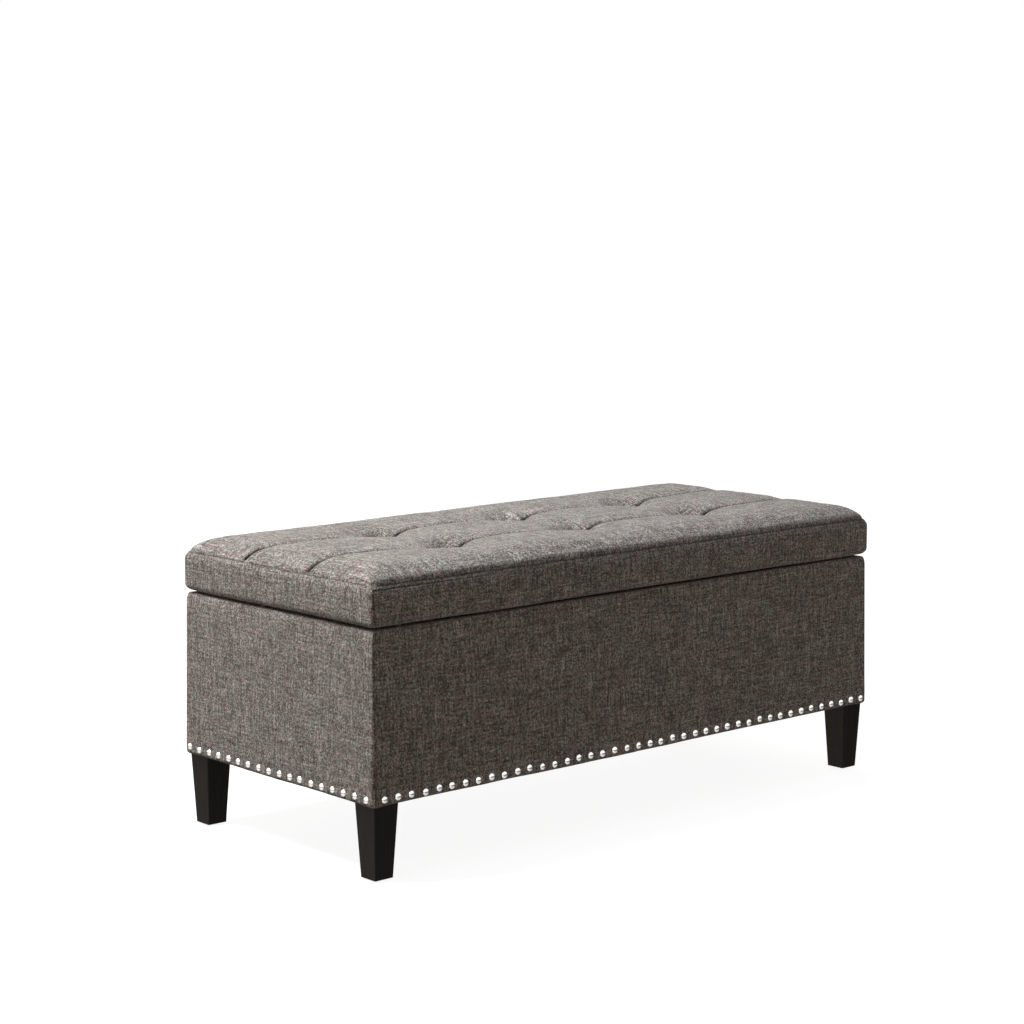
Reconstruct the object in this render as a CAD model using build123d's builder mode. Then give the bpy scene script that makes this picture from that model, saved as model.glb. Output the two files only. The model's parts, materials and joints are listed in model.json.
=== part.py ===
from build123d import *
import math
import os

# Upholstered storage bench with a hinged lift-up lid, tapered wooden legs and a row of
# decorative nails. Units are millimetres, +Z is up, X runs along the length, -Y is the
# front. The origin is on the floor, under the middle of the overall box.

# ---------------------------------------------------------------- driving dimensions
BOX_L = 1072.0          # length over the fabric of the box
BOX_D = 465.0           # depth over the fabric of the box
Z_BOX = 113.2           # underside of the box
Z_RIM = 367.0           # top of the fabric-covered rim
Z_LID = 371.0           # underside of the lid
Z_SEAM = 431.0          # seam between the lid's side band and its top panel
Z_TOP = 455.0           # highest point of the crowned seat

FABRIC = 1.0            # woven cover with its backing
WADDING = 4.0           # layer between the boards and the cover
BOARD = 15.0            # carcass boards
FLOOR_T = 12.0          # bottom board
LINING = 2.0            # liner of the storage space
DUST = 0.8              # non-woven cloth under the box

NAIL_R = 5.5            # radius of a nail's domed head
NAIL_H = 3.5            # height of the dome
NAIL_SHANK_R = 0.8
NAIL_SHANK_L = 11.0
NAIL_Z = Z_BOX + 10.0   # height of the nail row
NAILS_FRONT = 42
NAILS_END = 18

LEG_TOP = 45.0          # leg section at the top
LEG_BOTTOM = 33.5       # leg section at the bottom
LEG_INSET = 3.0         # top corner of a leg inside the fabric's corner
LEG_INSET_LOW = 8.2     # bottom corner of a leg inside the fabric's corner
GLIDE_T = 2.5
GLIDE_R = 10.0

LID_OVER = 2.0          # lid overhang at the front and the ends
LID_FABRIC = 1.5
LID_BOARD_T = 12.0
LID_LINING = 2.0

PIN_R = 1.55            # hinge pin
KNUCKLE_R = 3.25
KNUCKLE_GAP = 4.0       # hinge axis behind the box's back face
LEAF_T = 1.4
LEAF_L = 65.0
LEAF_W = 18.0
HINGE_X = 330.0

STAY_R = 120.0          # hinge axis to either pivot of a lid stay
STAY_DROP = 12.0        # lid pivot of the stay below the hinge axis
STAY_OPEN0 = 16.0       # angle between the two pivots, seen from the hinge, lid closed
LID_OPEN = 85.0         # opening angle of the lid
STAY_X = 505.0          # middle plane of each stay arm
STAY_T = 2.0
STAY_W = 18.0
STUD_R = 3.0
SLOT_R = 3.3
RIVET_R = 2.5

TUFT_X = (-270.0, 0.0, 268.0)
TUFT_Y = (-78.0, 78.0)

# ---------------------------------------------------------------- derived dimensions
# The nails reach furthest forward and the hinge knuckles furthest back, so the box's own
# centre line lies a little in front of the origin.
YC = -((BOX_D / 2 + KNUCKLE_GAP + KNUCKLE_R) - (BOX_D / 2 + NAIL_H)) / 2
SKIN = FABRIC + WADDING
CX = BOX_L / 2 - SKIN            # half length over the boards
CY = BOX_D / 2 - SKIN            # half depth over the boards
IX = CX - BOARD                  # half length inside the boards
IY = CY - BOARD                  # half depth inside the boards
Z_BOARD0 = Z_BOX + DUST          # underside of the boards
Z_BOARD1 = Z_RIM - FABRIC        # top edge of the boards
Z_FLOOR = Z_BOARD0 + FLOOR_T
LX = BOX_L / 2 + LID_OVER        # half length of the lid
LY0 = YC - BOX_D / 2 - LID_OVER  # front of the lid
LY1 = YC + BOX_D / 2             # back of the lid
LYC = (LY0 + LY1) / 2
LD = LY1 - LY0
HY = YC + BOX_D / 2 + KNUCKLE_GAP  # hinge axis
HZ = (Z_RIM + Z_LID) / 2

alpha = math.asin(STAY_DROP / STAY_R)
beta = alpha + math.radians(STAY_OPEN0)
BY = HY - STAY_R * math.cos(alpha)   # lid pivot of the stays
BZ = HZ - STAY_R * math.sin(alpha)
AY = HY - STAY_R * math.cos(beta)    # fixed stud of the stays
AZ = HZ - STAY_R * math.sin(beta)
lean = (alpha + beta) / 2            # arm's lean from the vertical, lid closed
s_closed = 2 * STAY_R * math.sin(math.radians(STAY_OPEN0) / 2)
s_open = 2 * STAY_R * math.sin(math.radians(STAY_OPEN0 + LID_OPEN) / 2)
print("origin offset of the box", YC, "hinge", HY, HZ)
print("stay: lid pivot", BY, BZ, "stud", AY, AZ, "travel", s_closed, s_open)

os.makedirs("parts", exist_ok=True)
EVERYTHING = []


def keep(builder, label):
    builder.part.label = label
    export_step(builder.part, "parts/" + label + ".step")
    EVERYTHING.append(label)


# ================================================================= the box: boards
with BuildPart() as front_panel:
    with BuildSketch(Plane.XY.offset(Z_BOARD0)):
        with Locations((0, YC - CY + BOARD / 2)):
            Rectangle(2 * CX, BOARD)
    extrude(amount=Z_BOARD1 - Z_BOARD0)
keep(front_panel, "front_panel")

with BuildPart() as back_panel:
    with BuildSketch(Plane.XY.offset(Z_BOARD0)):
        with Locations((0, YC + CY - BOARD / 2)):
            Rectangle(2 * CX, BOARD)
    extrude(amount=Z_BOARD1 - Z_BOARD0)
keep(back_panel, "back_panel")

with BuildPart() as left_end_panel:
    with BuildSketch(Plane.XY.offset(Z_BOARD0)):
        with Locations((-CX + BOARD / 2, YC)):
            Rectangle(BOARD, 2 * IY)
    extrude(amount=Z_BOARD1 - Z_BOARD0)
keep(left_end_panel, "left_end_panel")

with BuildPart() as right_end_panel:
    with BuildSketch(Plane.XY.offset(Z_BOARD0)):
        with Locations((CX - BOARD / 2, YC)):
            Rectangle(BOARD, 2 * IY)
    extrude(amount=Z_BOARD1 - Z_BOARD0)
keep(right_end_panel, "right_end_panel")

# Leg centres at the top of the legs; the hanger bolts stand there.
LEG_CX = BOX_L / 2 - LEG_INSET - LEG_TOP / 2
LEG_CY = BOX_D / 2 - LEG_INSET - LEG_TOP / 2
LEG_CX_LOW = BOX_L / 2 - LEG_INSET_LOW - LEG_BOTTOM / 2
LEG_CY_LOW = BOX_D / 2 - LEG_INSET_LOW - LEG_BOTTOM / 2
# The bolts are set clear of the boards, so that they pass through the bottom board only.
BOLT_X = IX - 8.0
BOLT_Y = IY - 8.0
bolt_spots = [(sx * BOLT_X, YC + sy * BOLT_Y) for sx in (-1, 1) for sy in (-1, 1)]

with BuildPart() as floor_panel:
    with BuildSketch(Plane.XY.offset(Z_BOARD0)):
        with Locations((0, YC)):
            Rectangle(2 * IX, 2 * IY)
        with Locations(*bolt_spots):
            Circle(5.0, mode=Mode.SUBTRACT)
    extrude(amount=FLOOR_T)
    # seats for the flanges of the tee nuts
    with BuildSketch(Plane.XY.offset(Z_FLOOR - 1.5)):
        with Locations(*bolt_spots):
            Rectangle(15.0, 15.0)
    extrude(amount=1.5, mode=Mode.SUBTRACT)
keep(floor_panel, "floor_panel")

# ================================================================= the box: wadding
with BuildPart() as front_wadding:
    with BuildSketch(Plane.XY.offset(Z_BOARD0)):
        with Locations((0, YC - CY - WADDING / 2)):
            Rectangle(2 * CX + 2 * WADDING, WADDING)
    extrude(amount=Z_BOARD1 - Z_BOARD0)
keep(front_wadding, "front_wadding")

with BuildPart() as back_wadding:
    with BuildSketch(Plane.XY.offset(Z_BOARD0)):
        with Locations((0, YC + CY + WADDING / 2)):
            Rectangle(2 * CX + 2 * WADDING, WADDING)
    extrude(amount=Z_BOARD1 - Z_BOARD0)
keep(back_wadding, "back_wadding")

with BuildPart() as left_end_wadding:
    with BuildSketch(Plane.XY.offset(Z_BOARD0)):
        with Locations((-CX - WADDING / 2, YC)):
            Rectangle(WADDING, 2 * CY)
    extrude(amount=Z_BOARD1 - Z_BOARD0)
keep(left_end_wadding, "left_end_wadding")

with BuildPart() as right_end_wadding:
    with BuildSketch(Plane.XY.offset(Z_BOARD0)):
        with Locations((CX + WADDING / 2, YC)):
            Rectangle(WADDING, 2 * CY)
    extrude(amount=Z_BOARD1 - Z_BOARD0)
keep(right_end_wadding, "right_end_wadding")

# ================================================================= the box: covers
# Each cover is an upright cloth with a strip turned in over the top edge of its board.
RIM_IN = BOARD + WADDING
with BuildPart() as front_cover:
    with BuildSketch(Plane.XY.offset(Z_BOX)):
        with Locations((0, YC - BOX_D / 2 + FABRIC / 2)):
            Rectangle(BOX_L, FABRIC)
    extrude(amount=Z_RIM - Z_BOX)
    with BuildSketch(Plane.XY.offset(Z_BOARD1)):
        with Locations((0, YC - BOX_D / 2 + FABRIC + RIM_IN / 2)):
            Rectangle(BOX_L - 2 * FABRIC, RIM_IN)
    extrude(amount=FABRIC)
keep(front_cover, "front_cover")

with BuildPart() as back_cover:
    with BuildSketch(Plane.XY.offset(Z_BOX)):
        with Locations((0, YC + BOX_D / 2 - FABRIC / 2)):
            Rectangle(BOX_L, FABRIC)
    extrude(amount=Z_RIM - Z_BOX)
    with BuildSketch(Plane.XY.offset(Z_BOARD1)):
        with Locations((0, YC + BOX_D / 2 - FABRIC - RIM_IN / 2)):
            Rectangle(BOX_L - 2 * FABRIC, RIM_IN)
    extrude(amount=FABRIC)
keep(back_cover, "back_cover")

with BuildPart() as left_end_cover:
    with BuildSketch(Plane.XY.offset(Z_BOX)):
        with Locations((-BOX_L / 2 + FABRIC / 2, YC)):
            Rectangle(FABRIC, BOX_D - 2 * FABRIC)
    extrude(amount=Z_RIM - Z_BOX)
    with BuildSketch(Plane.XY.offset(Z_BOARD1)):
        with Locations((-BOX_L / 2 + FABRIC + RIM_IN / 2, YC)):
            Rectangle(RIM_IN, 2 * IY)
    extrude(amount=FABRIC)
keep(left_end_cover, "left_end_cover")

with BuildPart() as right_end_cover:
    with BuildSketch(Plane.XY.offset(Z_BOX)):
        with Locations((BOX_L / 2 - FABRIC / 2, YC)):
            Rectangle(FABRIC, BOX_D - 2 * FABRIC)
    extrude(amount=Z_RIM - Z_BOX)
    with BuildSketch(Plane.XY.offset(Z_BOARD1)):
        with Locations((BOX_L / 2 - FABRIC - RIM_IN / 2, YC)):
            Rectangle(RIM_IN, 2 * IY)
    extrude(amount=FABRIC)
keep(right_end_cover, "right_end_cover")

# Liner of the storage space: floor and four walls in one open tub.
with BuildPart() as storage_lining:
    with BuildSketch(Plane.XY.offset(Z_FLOOR)):
        with Locations((0, YC)):
            Rectangle(2 * IX, 2 * IY)
    extrude(amount=Z_BOARD1 - Z_FLOOR)
    with BuildSketch(Plane.XY.offset(Z_FLOOR + LINING)):
        with Locations((0, YC)):
            Rectangle(2 * (IX - LINING), 2 * (IY - LINING))
    extrude(amount=Z_BOARD1 - Z_FLOOR, mode=Mode.SUBTRACT)
keep(storage_lining, "storage_lining")

with BuildPart() as dust_cover:
    with BuildSketch(Plane.XY.offset(Z_BOX)):
        with Locations((0, YC)):
            Rectangle(BOX_L - 2 * FABRIC, BOX_D - 2 * FABRIC)
        with Locations(*bolt_spots):
            Circle(4.2, mode=Mode.SUBTRACT)
    extrude(amount=DUST)
keep(dust_cover, "dust_cover")

# ================================================================= legs
LEG_Z = Z_BOX - GLIDE_T


def leg_squares(sx, sy):
    return (
        (sx * LEG_CX, YC + sy * LEG_CY),
        (sx * LEG_CX_LOW, YC + sy * LEG_CY_LOW),
    )


top_fl, low_fl = leg_squares(-1, -1)
with BuildPart() as leg_front_left:
    with BuildSketch(Plane.XY.offset(Z_BOX)):
        with Locations(top_fl):
            RectangleRounded(LEG_TOP, LEG_TOP, 1.5)
    with BuildSketch(Plane.XY.offset(GLIDE_T)):
        with Locations(low_fl):
            RectangleRounded(LEG_BOTTOM, LEG_BOTTOM, 1.5)
    loft()
keep(leg_front_left, "leg_front_left")

top_fr, low_fr = leg_squares(1, -1)
with BuildPart() as leg_front_right:
    with BuildSketch(Plane.XY.offset(Z_BOX)):
        with Locations(top_fr):
            RectangleRounded(LEG_TOP, LEG_TOP, 1.5)
    with BuildSketch(Plane.XY.offset(GLIDE_T)):
        with Locations(low_fr):
            RectangleRounded(LEG_BOTTOM, LEG_BOTTOM, 1.5)
    loft()
keep(leg_front_right, "leg_front_right")

top_bl, low_bl = leg_squares(-1, 1)
with BuildPart() as leg_back_left:
    with BuildSketch(Plane.XY.offset(Z_BOX)):
        with Locations(top_bl):
            RectangleRounded(LEG_TOP, LEG_TOP, 1.5)
    with BuildSketch(Plane.XY.offset(GLIDE_T)):
        with Locations(low_bl):
            RectangleRounded(LEG_BOTTOM, LEG_BOTTOM, 1.5)
    loft()
keep(leg_back_left, "leg_back_left")

top_br, low_br = leg_squares(1, 1)
with BuildPart() as leg_back_right:
    with BuildSketch(Plane.XY.offset(Z_BOX)):
        with Locations(top_br):
            RectangleRounded(LEG_TOP, LEG_TOP, 1.5)
    with BuildSketch(Plane.XY.offset(GLIDE_T)):
        with Locations(low_br):
            RectangleRounded(LEG_BOTTOM, LEG_BOTTOM, 1.5)
    loft()
keep(leg_back_right, "leg_back_right")

glide_spots = [leg_squares(sx, sy)[1] for sx in (-1, 1) for sy in (-1, 1)]
with BuildPart() as leg_glides:
    with BuildSketch(Plane.XY):
        with Locations(*glide_spots):
            Circle(GLIDE_R)
    extrude(amount=GLIDE_T)
    chamfer(leg_glides.edges().group_by(Axis.Z)[0], 0.7)
keep(leg_glides, "leg_glides")

# Hanger bolts: wood thread down in the leg, machine thread up in the tee nut.
with BuildPart() as leg_hanger_bolts:
    with BuildSketch(Plane.XY.offset(Z_BOX - 42.0)):
        with Locations(*bolt_spots):
            Circle(4.0)
    extrude(amount=42.0 + DUST + FLOOR_T - 0.5)
keep(leg_hanger_bolts, "leg_hanger_bolts")

with BuildPart() as leg_tee_nuts:
    with BuildSketch(Plane.XY.offset(Z_FLOOR - 1.5)):
        with Locations(*bolt_spots):
            Rectangle(15.0, 15.0)
    extrude(amount=1.5)
    with BuildSketch(Plane.XY.offset(Z_FLOOR - 10.0)):
        with Locations(*bolt_spots):
            Circle(5.0)
    extrude(amount=8.5)
    with BuildSketch(Plane.XY.offset(Z_FLOOR - 10.0)):
        with Locations(*bolt_spots):
            Circle(4.05)
    extrude(amount=10.0, mode=Mode.SUBTRACT)
keep(leg_tee_nuts, "leg_tee_nuts")

# ================================================================= decorative nails
cap_r = (NAIL_R ** 2 + NAIL_H ** 2) / (2 * NAIL_H)
with BuildPart() as nail:
    with BuildSketch(Plane.XZ):
        with BuildLine():
            Line((0, -NAIL_SHANK_L), (NAIL_SHANK_R, -NAIL_SHANK_L + 1.5))
            Line((NAIL_SHANK_R, -NAIL_SHANK_L + 1.5), (NAIL_SHANK_R, 0))
            Line((NAIL_SHANK_R, 0), (NAIL_R, 0))
            RadiusArc((NAIL_R, 0), (0, NAIL_H), -cap_r)
            Line((0, NAIL_H), (0, -NAIL_SHANK_L))
        make_face()
    revolve(axis=Axis.Z)

fx0 = -BOX_L / 2 + 17.0
fx1 = BOX_L / 2 - 11.5
front_spots = [
    Location((fx0 + (fx1 - fx0) * i / (NAILS_FRONT - 1), YC - BOX_D / 2, NAIL_Z), (90, 0, 0))
    for i in range(NAILS_FRONT)
]
with BuildPart() as nailheads_front:
    with Locations(*front_spots):
        add(nail.part)
keep(nailheads_front, "nailheads_front")

ey0 = YC - BOX_D / 2 + 14.0
ey1 = YC + BOX_D / 2 - 9.4
end_ys = [ey0 + (ey1 - ey0) * i / (NAILS_END - 1) for i in range(NAILS_END)]
with BuildPart() as nailheads_left:
    with Locations(*[Location((-BOX_L / 2, y, NAIL_Z), (0, -90, 0)) for y in end_ys]):
        add(nail.part)
keep(nailheads_left, "nailheads_left")

with BuildPart() as nailheads_right:
    with Locations(*[Location((BOX_L / 2, y, NAIL_Z), (0, 90, 0)) for y in end_ys]):
        add(nail.part)
keep(nailheads_right, "nailheads_right")

# ================================================================= carcass screws
with BuildPart() as screw:
    with BuildSketch(Plane.XZ):
        with BuildLine():
            Polyline((0, 0), (4.0, 0), (2.0, -2.4), (2.0, -42.0), (0, -45.0), (0, 0))
        make_face()
    revolve(axis=Axis.Z)

corner_z = (160.0, 240.0, 330.0)
screw_spots = []
for sx in (-1, 1):
    for z in corner_z:
        x = sx * (CX - BOARD / 2)
        screw_spots.append(Location((x, YC - CY, z), (90, 0, 0)))
        screw_spots.append(Location((x, YC + CY, z), (-90, 0, 0)))
for x in (-404.5, -200.9, 2.7, 206.3, 409.9):
    screw_spots.append(Location((x, YC - CY, Z_BOARD0 + FLOOR_T / 2), (90, 0, 0)))
    screw_spots.append(Location((x, YC + CY, Z_BOARD0 + FLOOR_T / 2), (-90, 0, 0)))
for y in (YC - 110.0, YC + 110.0):
    screw_spots.append(Location((-CX, y, Z_BOARD0 + FLOOR_T / 2), (0, -90, 0)))
    screw_spots.append(Location((CX, y, Z_BOARD0 + FLOOR_T / 2), (0, 90, 0)))
with BuildPart() as carcass_screws:
    with Locations(*screw_spots):
        add(screw.part)
keep(carcass_screws, "carcass_screws")

# Small bumpers on the rim that the closed lid rests on.
with BuildPart() as lid_bumpers:
    with BuildSketch(Plane.XY.offset(Z_RIM)):
        with Locations((-480, YC - CY + 7), (480, YC - CY + 7), (-CX + 7, YC + 40), (CX - 7, YC + 40)):
            Circle(5.5)
    extrude(amount=Z_LID - Z_RIM - 0.1)
    fillet(lid_bumpers.edges().group_by(Axis.Z)[-1], 1.2)
keep(lid_bumpers, "lid_bumpers")

# ================================================================= hinges
# Five knuckles along each hinge: three on the box leaf, two on the lid leaf.
KN = LEAF_L / 5
GAP = 0.3
base_runs = [(-LEAF_L / 2, KN - GAP / 2), (-LEAF_L / 2 + 2 * KN + GAP / 2, KN - GAP), (-LEAF_L / 2 + 4 * KN + GAP / 2, KN - GAP / 2)]
lid_runs = [(-LEAF_L / 2 + KN + GAP / 2, KN - GAP), (-LEAF_L / 2 + 3 * KN + GAP / 2, KN - GAP)]
AXIS_PLANE = Plane(origin=(0, HY, HZ), x_dir=(0, 1, 0), z_dir=(1, 0, 0))


def leaf_solid(cx, runs, z0, bore):
    """One leaf of a butt hinge: a plate, a tab to each of its knuckles and the knuckles."""
    with BuildPart() as leaf:
        with BuildSketch(Plane.XY.offset(z0)):
            with Locations((cx, HY - KNUCKLE_GAP - LEAF_W / 2)):
                RectangleRounded(LEAF_L, LEAF_W, 2.0)
            with Locations((cx, HY - KNUCKLE_GAP - 2.0)):
                Rectangle(LEAF_L, 4.0)
            for start, length in runs:
                with Locations((cx + start + length / 2, HY - KNUCKLE_GAP / 2 - 0.7)):
                    Rectangle(length, KNUCKLE_GAP - 1.3)
        extrude(amount=LEAF_T)
        for start, length in runs:
            with BuildSketch(Plane(origin=(cx + start, HY, HZ), x_dir=(0, 1, 0), z_dir=(1, 0, 0))):
                Circle(KNUCKLE_R)
            extrude(amount=length)
        with BuildSketch(Plane(origin=(cx - LEAF_L / 2 - 1, HY, HZ), x_dir=(0, 1, 0), z_dir=(1, 0, 0))):
            Circle(bore)
        extrude(amount=LEAF_L + 2, mode=Mode.SUBTRACT)
    return leaf


hinge_left_base_leaf = leaf_solid(-HINGE_X, base_runs, Z_RIM, PIN_R)
keep(hinge_left_base_leaf, "hinge_left_base_leaf")
hinge_right_base_leaf = leaf_solid(HINGE_X, base_runs, Z_RIM, PIN_R)
keep(hinge_right_base_leaf, "hinge_right_base_leaf")
hinge_left_lid_leaf = leaf_solid(-HINGE_X, lid_runs, Z_LID - LEAF_T, PIN_R + 0.06)
keep(hinge_left_lid_leaf, "hinge_left_lid_leaf")
hinge_right_lid_leaf = leaf_solid(HINGE_X, lid_runs, Z_LID - LEAF_T, PIN_R + 0.06)
keep(hinge_right_lid_leaf, "hinge_right_lid_leaf")

with BuildPart() as hinge_left_pin:
    with BuildSketch(Plane(origin=(-HINGE_X - LEAF_L / 2, HY, HZ), x_dir=(0, 1, 0), z_dir=(1, 0, 0))):
        Circle(PIN_R)
    extrude(amount=LEAF_L)
keep(hinge_left_pin, "hinge_left_pin")

with BuildPart() as hinge_right_pin:
    with BuildSketch(Plane(origin=(HINGE_X - LEAF_L / 2, HY, HZ), x_dir=(0, 1, 0), z_dir=(1, 0, 0))):
        Circle(PIN_R)
    extrude(amount=LEAF_L)
keep(hinge_right_pin, "hinge_right_pin")

# Countersunk wood screws; the head ends flush with the leaf.
with BuildPart() as hinge_screw:
    with BuildSketch(Plane.XZ):
        with BuildLine():
            Polyline((0, 0), (3.2, 0), (1.6, -LEAF_T), (1.6, -18.0), (0, -20.5), (0, 0))
        make_face()
    revolve(axis=Axis.Z)

with BuildPart() as lid_screw:
    with BuildSketch(Plane.XZ):
        with BuildLine():
            Polyline((0, 0), (3.2, 0), (1.6, -LEAF_T), (1.6, -11.5), (0, -13.5), (0, 0))
        make_face()
    revolve(axis=Axis.Z)

hinge_screw_xs = [sx * HINGE_X + dx for sx in (-1, 1) for dx in (-22.0, 0.0, 22.0)]
hinge_screw_y = YC + CY - BOARD / 2
with BuildPart() as hinge_base_screws:
    with Locations(*[Location((x, hinge_screw_y, Z_RIM + LEAF_T), (0, 0, 0)) for x in hinge_screw_xs]):
        add(hinge_screw.part)
keep(hinge_base_screws, "hinge_base_screws")

with BuildPart() as hinge_lid_screws:
    with Locations(*[Location((x, hinge_screw_y, Z_LID - LEAF_T), (180, 0, 0)) for x in hinge_screw_xs]):
        add(lid_screw.part)
keep(hinge_lid_screws, "hinge_lid_screws")

# ================================================================= the lid
LID_B0 = Z_LID + LID_LINING
LID_B1 = LID_B0 + LID_BOARD_T
bx = LX - LID_FABRIC
by0 = LY0 + LID_FABRIC
by1 = LY1 - LID_FABRIC
tuft_spots = [(x, YC + y) for x in TUFT_X for y in TUFT_Y]

with BuildPart() as lid_board:
    with BuildSketch(Plane.XY.offset(LID_B0)):
        with Locations((0, (by0 + by1) / 2)):
            Rectangle(2 * bx, by1 - by0)
        with Locations(*tuft_spots):
            Circle(2.0, mode=Mode.SUBTRACT)
    extrude(amount=LID_BOARD_T)
    with BuildSketch(Plane.XY.offset(LID_B0)):
        with Locations(*tuft_spots):
            Circle(11.0)
    extrude(amount=2.5, mode=Mode.SUBTRACT)
keep(lid_board, "lid_board")

# Crowned seat foam: the long profile and the cross profile are intersected.
ft = Z_TOP - LID_FABRIC
with BuildPart() as lid_foam:
    with BuildSketch(Plane(origin=(-bx, 0, 0), x_dir=(0, 1, 0), z_dir=(1, 0, 0))):
        with BuildLine():
            Line((by0, LID_B1), (by0, Z_SEAM))
            ThreePointArc((by0, Z_SEAM), (by0 + 8, Z_SEAM + 11.0), (by0 + 26, Z_SEAM + 17.5))
            ThreePointArc((by0 + 26, Z_SEAM + 17.5), (LYC, ft), (by1 - 26, Z_SEAM + 17.5))
            ThreePointArc((by1 - 26, Z_SEAM + 17.5), (by1 - 8, Z_SEAM + 11.0), (by1, Z_SEAM))
            Line((by1, Z_SEAM), (by1, LID_B1))
            Line((by1, LID_B1), (by0, LID_B1))
        make_face()
    extrude(amount=2 * bx)
    with BuildSketch(Plane(origin=(0, by1 + 10, 0), x_dir=(1, 0, 0), z_dir=(0, -1, 0))):
        with BuildLine():
            Line((-bx, LID_B1), (-bx, Z_SEAM))
            ThreePointArc((-bx, Z_SEAM), (-bx + 8, Z_SEAM + 11.0), (-bx + 26, Z_SEAM + 18.0))
            ThreePointArc((-bx + 26, Z_SEAM + 18.0), (0, ft + 0.5), (bx - 26, Z_SEAM + 18.0))
            ThreePointArc((bx - 26, Z_SEAM + 18.0), (bx - 8, Z_SEAM + 11.0), (bx, Z_SEAM))
            Line((bx, Z_SEAM), (bx, LID_B1))
            Line((bx, LID_B1), (-bx, LID_B1))
        make_face()
    extrude(amount=LD + 20, mode=Mode.INTERSECT)
keep(lid_foam, "lid_foam")

with BuildPart() as lid_top_cover:
    with BuildSketch(Plane(origin=(-LX, 0, 0), x_dir=(0, 1, 0), z_dir=(1, 0, 0))):
        with BuildLine():
            Line((LY0, Z_SEAM - 20), (LY0, Z_SEAM))
            ThreePointArc((LY0, Z_SEAM), (LY0 + 8, Z_SEAM + 12.2), (LY0 + 26, Z_SEAM + 19.0))
            ThreePointArc((LY0 + 26, Z_SEAM + 19.0), (LYC, Z_TOP), (LY1 - 26, Z_SEAM + 19.0))
            ThreePointArc((LY1 - 26, Z_SEAM + 19.0), (LY1 - 8, Z_SEAM + 12.2), (LY1, Z_SEAM))
            Line((LY1, Z_SEAM), (LY1, Z_SEAM - 20))
            Line((LY1, Z_SEAM - 20), (LY0, Z_SEAM - 20))
        make_face()
    extrude(amount=2 * LX)
    with BuildSketch(Plane(origin=(0, LY1 + 10, 0), x_dir=(1, 0, 0), z_dir=(0, -1, 0))):
        with BuildLine():
            Line((-LX, Z_SEAM - 20), (-LX, Z_SEAM))
            ThreePointArc((-LX, Z_SEAM), (-LX + 8, Z_SEAM + 12.2), (-LX + 26, Z_SEAM + 19.5))
            ThreePointArc((-LX + 26, Z_SEAM + 19.5), (0, Z_TOP + 0.5), (LX - 26, Z_SEAM + 19.5))
            ThreePointArc((LX - 26, Z_SEAM + 19.5), (LX - 8, Z_SEAM + 12.2), (LX, Z_SEAM))
            Line((LX, Z_SEAM), (LX, Z_SEAM - 20))
            Line((LX, Z_SEAM - 20), (-LX, Z_SEAM - 20))
        make_face()
    extrude(amount=LD + 20, mode=Mode.INTERSECT)
    add(lid_foam.part, mode=Mode.SUBTRACT)
    split(bisect_by=Plane.XY.offset(Z_SEAM), keep=Keep.TOP)
keep(lid_top_cover, "lid_top_cover")

with BuildPart() as lid_band_front:
    with BuildSketch(Plane.XY.offset(Z_LID)):
        with Locations((0, LY0 + LID_FABRIC / 2)):
            Rectangle(2 * LX, LID_FABRIC)
    extrude(amount=Z_SEAM - Z_LID)
keep(lid_band_front, "lid_band_front")

with BuildPart() as lid_band_back:
    with BuildSketch(Plane.XY.offset(Z_LID)):
        with Locations((0, LY1 - LID_FABRIC / 2)):
            Rectangle(2 * LX, LID_FABRIC)
    extrude(amount=Z_SEAM - Z_LID)
keep(lid_band_back, "lid_band_back")

with BuildPart() as lid_band_left:
    with BuildSketch(Plane.XY.offset(Z_LID)):
        with Locations((-LX + LID_FABRIC / 2, LYC)):
            Rectangle(LID_FABRIC, LD - 2 * LID_FABRIC)
    extrude(amount=Z_SEAM - Z_LID)
keep(lid_band_left, "lid_band_left")

with BuildPart() as lid_band_right:
    with BuildSketch(Plane.XY.offset(Z_LID)):
        with Locations((LX - LID_FABRIC / 2, LYC)):
            Rectangle(LID_FABRIC, LD - 2 * LID_FABRIC)
    extrude(amount=Z_SEAM - Z_LID)
keep(lid_band_right, "lid_band_right")

with BuildPart() as lid_lining:
    with BuildSketch(Plane.XY.offset(Z_LID)):
        with Locations((0, LYC)):
            Rectangle(2 * bx, by1 - by0)
    extrude(amount=LID_LINING)
keep(lid_lining, "lid_lining")

# Twines that pull the seat cover down, and the discs that hold them under the board.
with BuildPart() as tuft_twines:
    with BuildSketch(Plane.XY.offset(LID_B0 + 2.4)):
        with Locations(*tuft_spots):
            Circle(1.2)
    extrude(amount=428.0 - LID_B0 - 2.4)
keep(tuft_twines, "tuft_twines")

with BuildPart() as tuft_anchors:
    with BuildSketch(Plane.XY.offset(LID_B0 + 0.4)):
        with Locations(*tuft_spots):
            Circle(10.5)
    extrude(amount=2.0)
keep(tuft_anchors, "tuft_anchors")

# ================================================================= lid stays
# Each stay is a slotted arm. It turns on a rivet in an ear under the lid and slides on a
# stud on the end board. Both pivots are equally far from the hinge axis, so the arm turns
# exactly half as far as the lid.
PLATE_X = IX - LINING            # inner face of the liner at the ends


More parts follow.
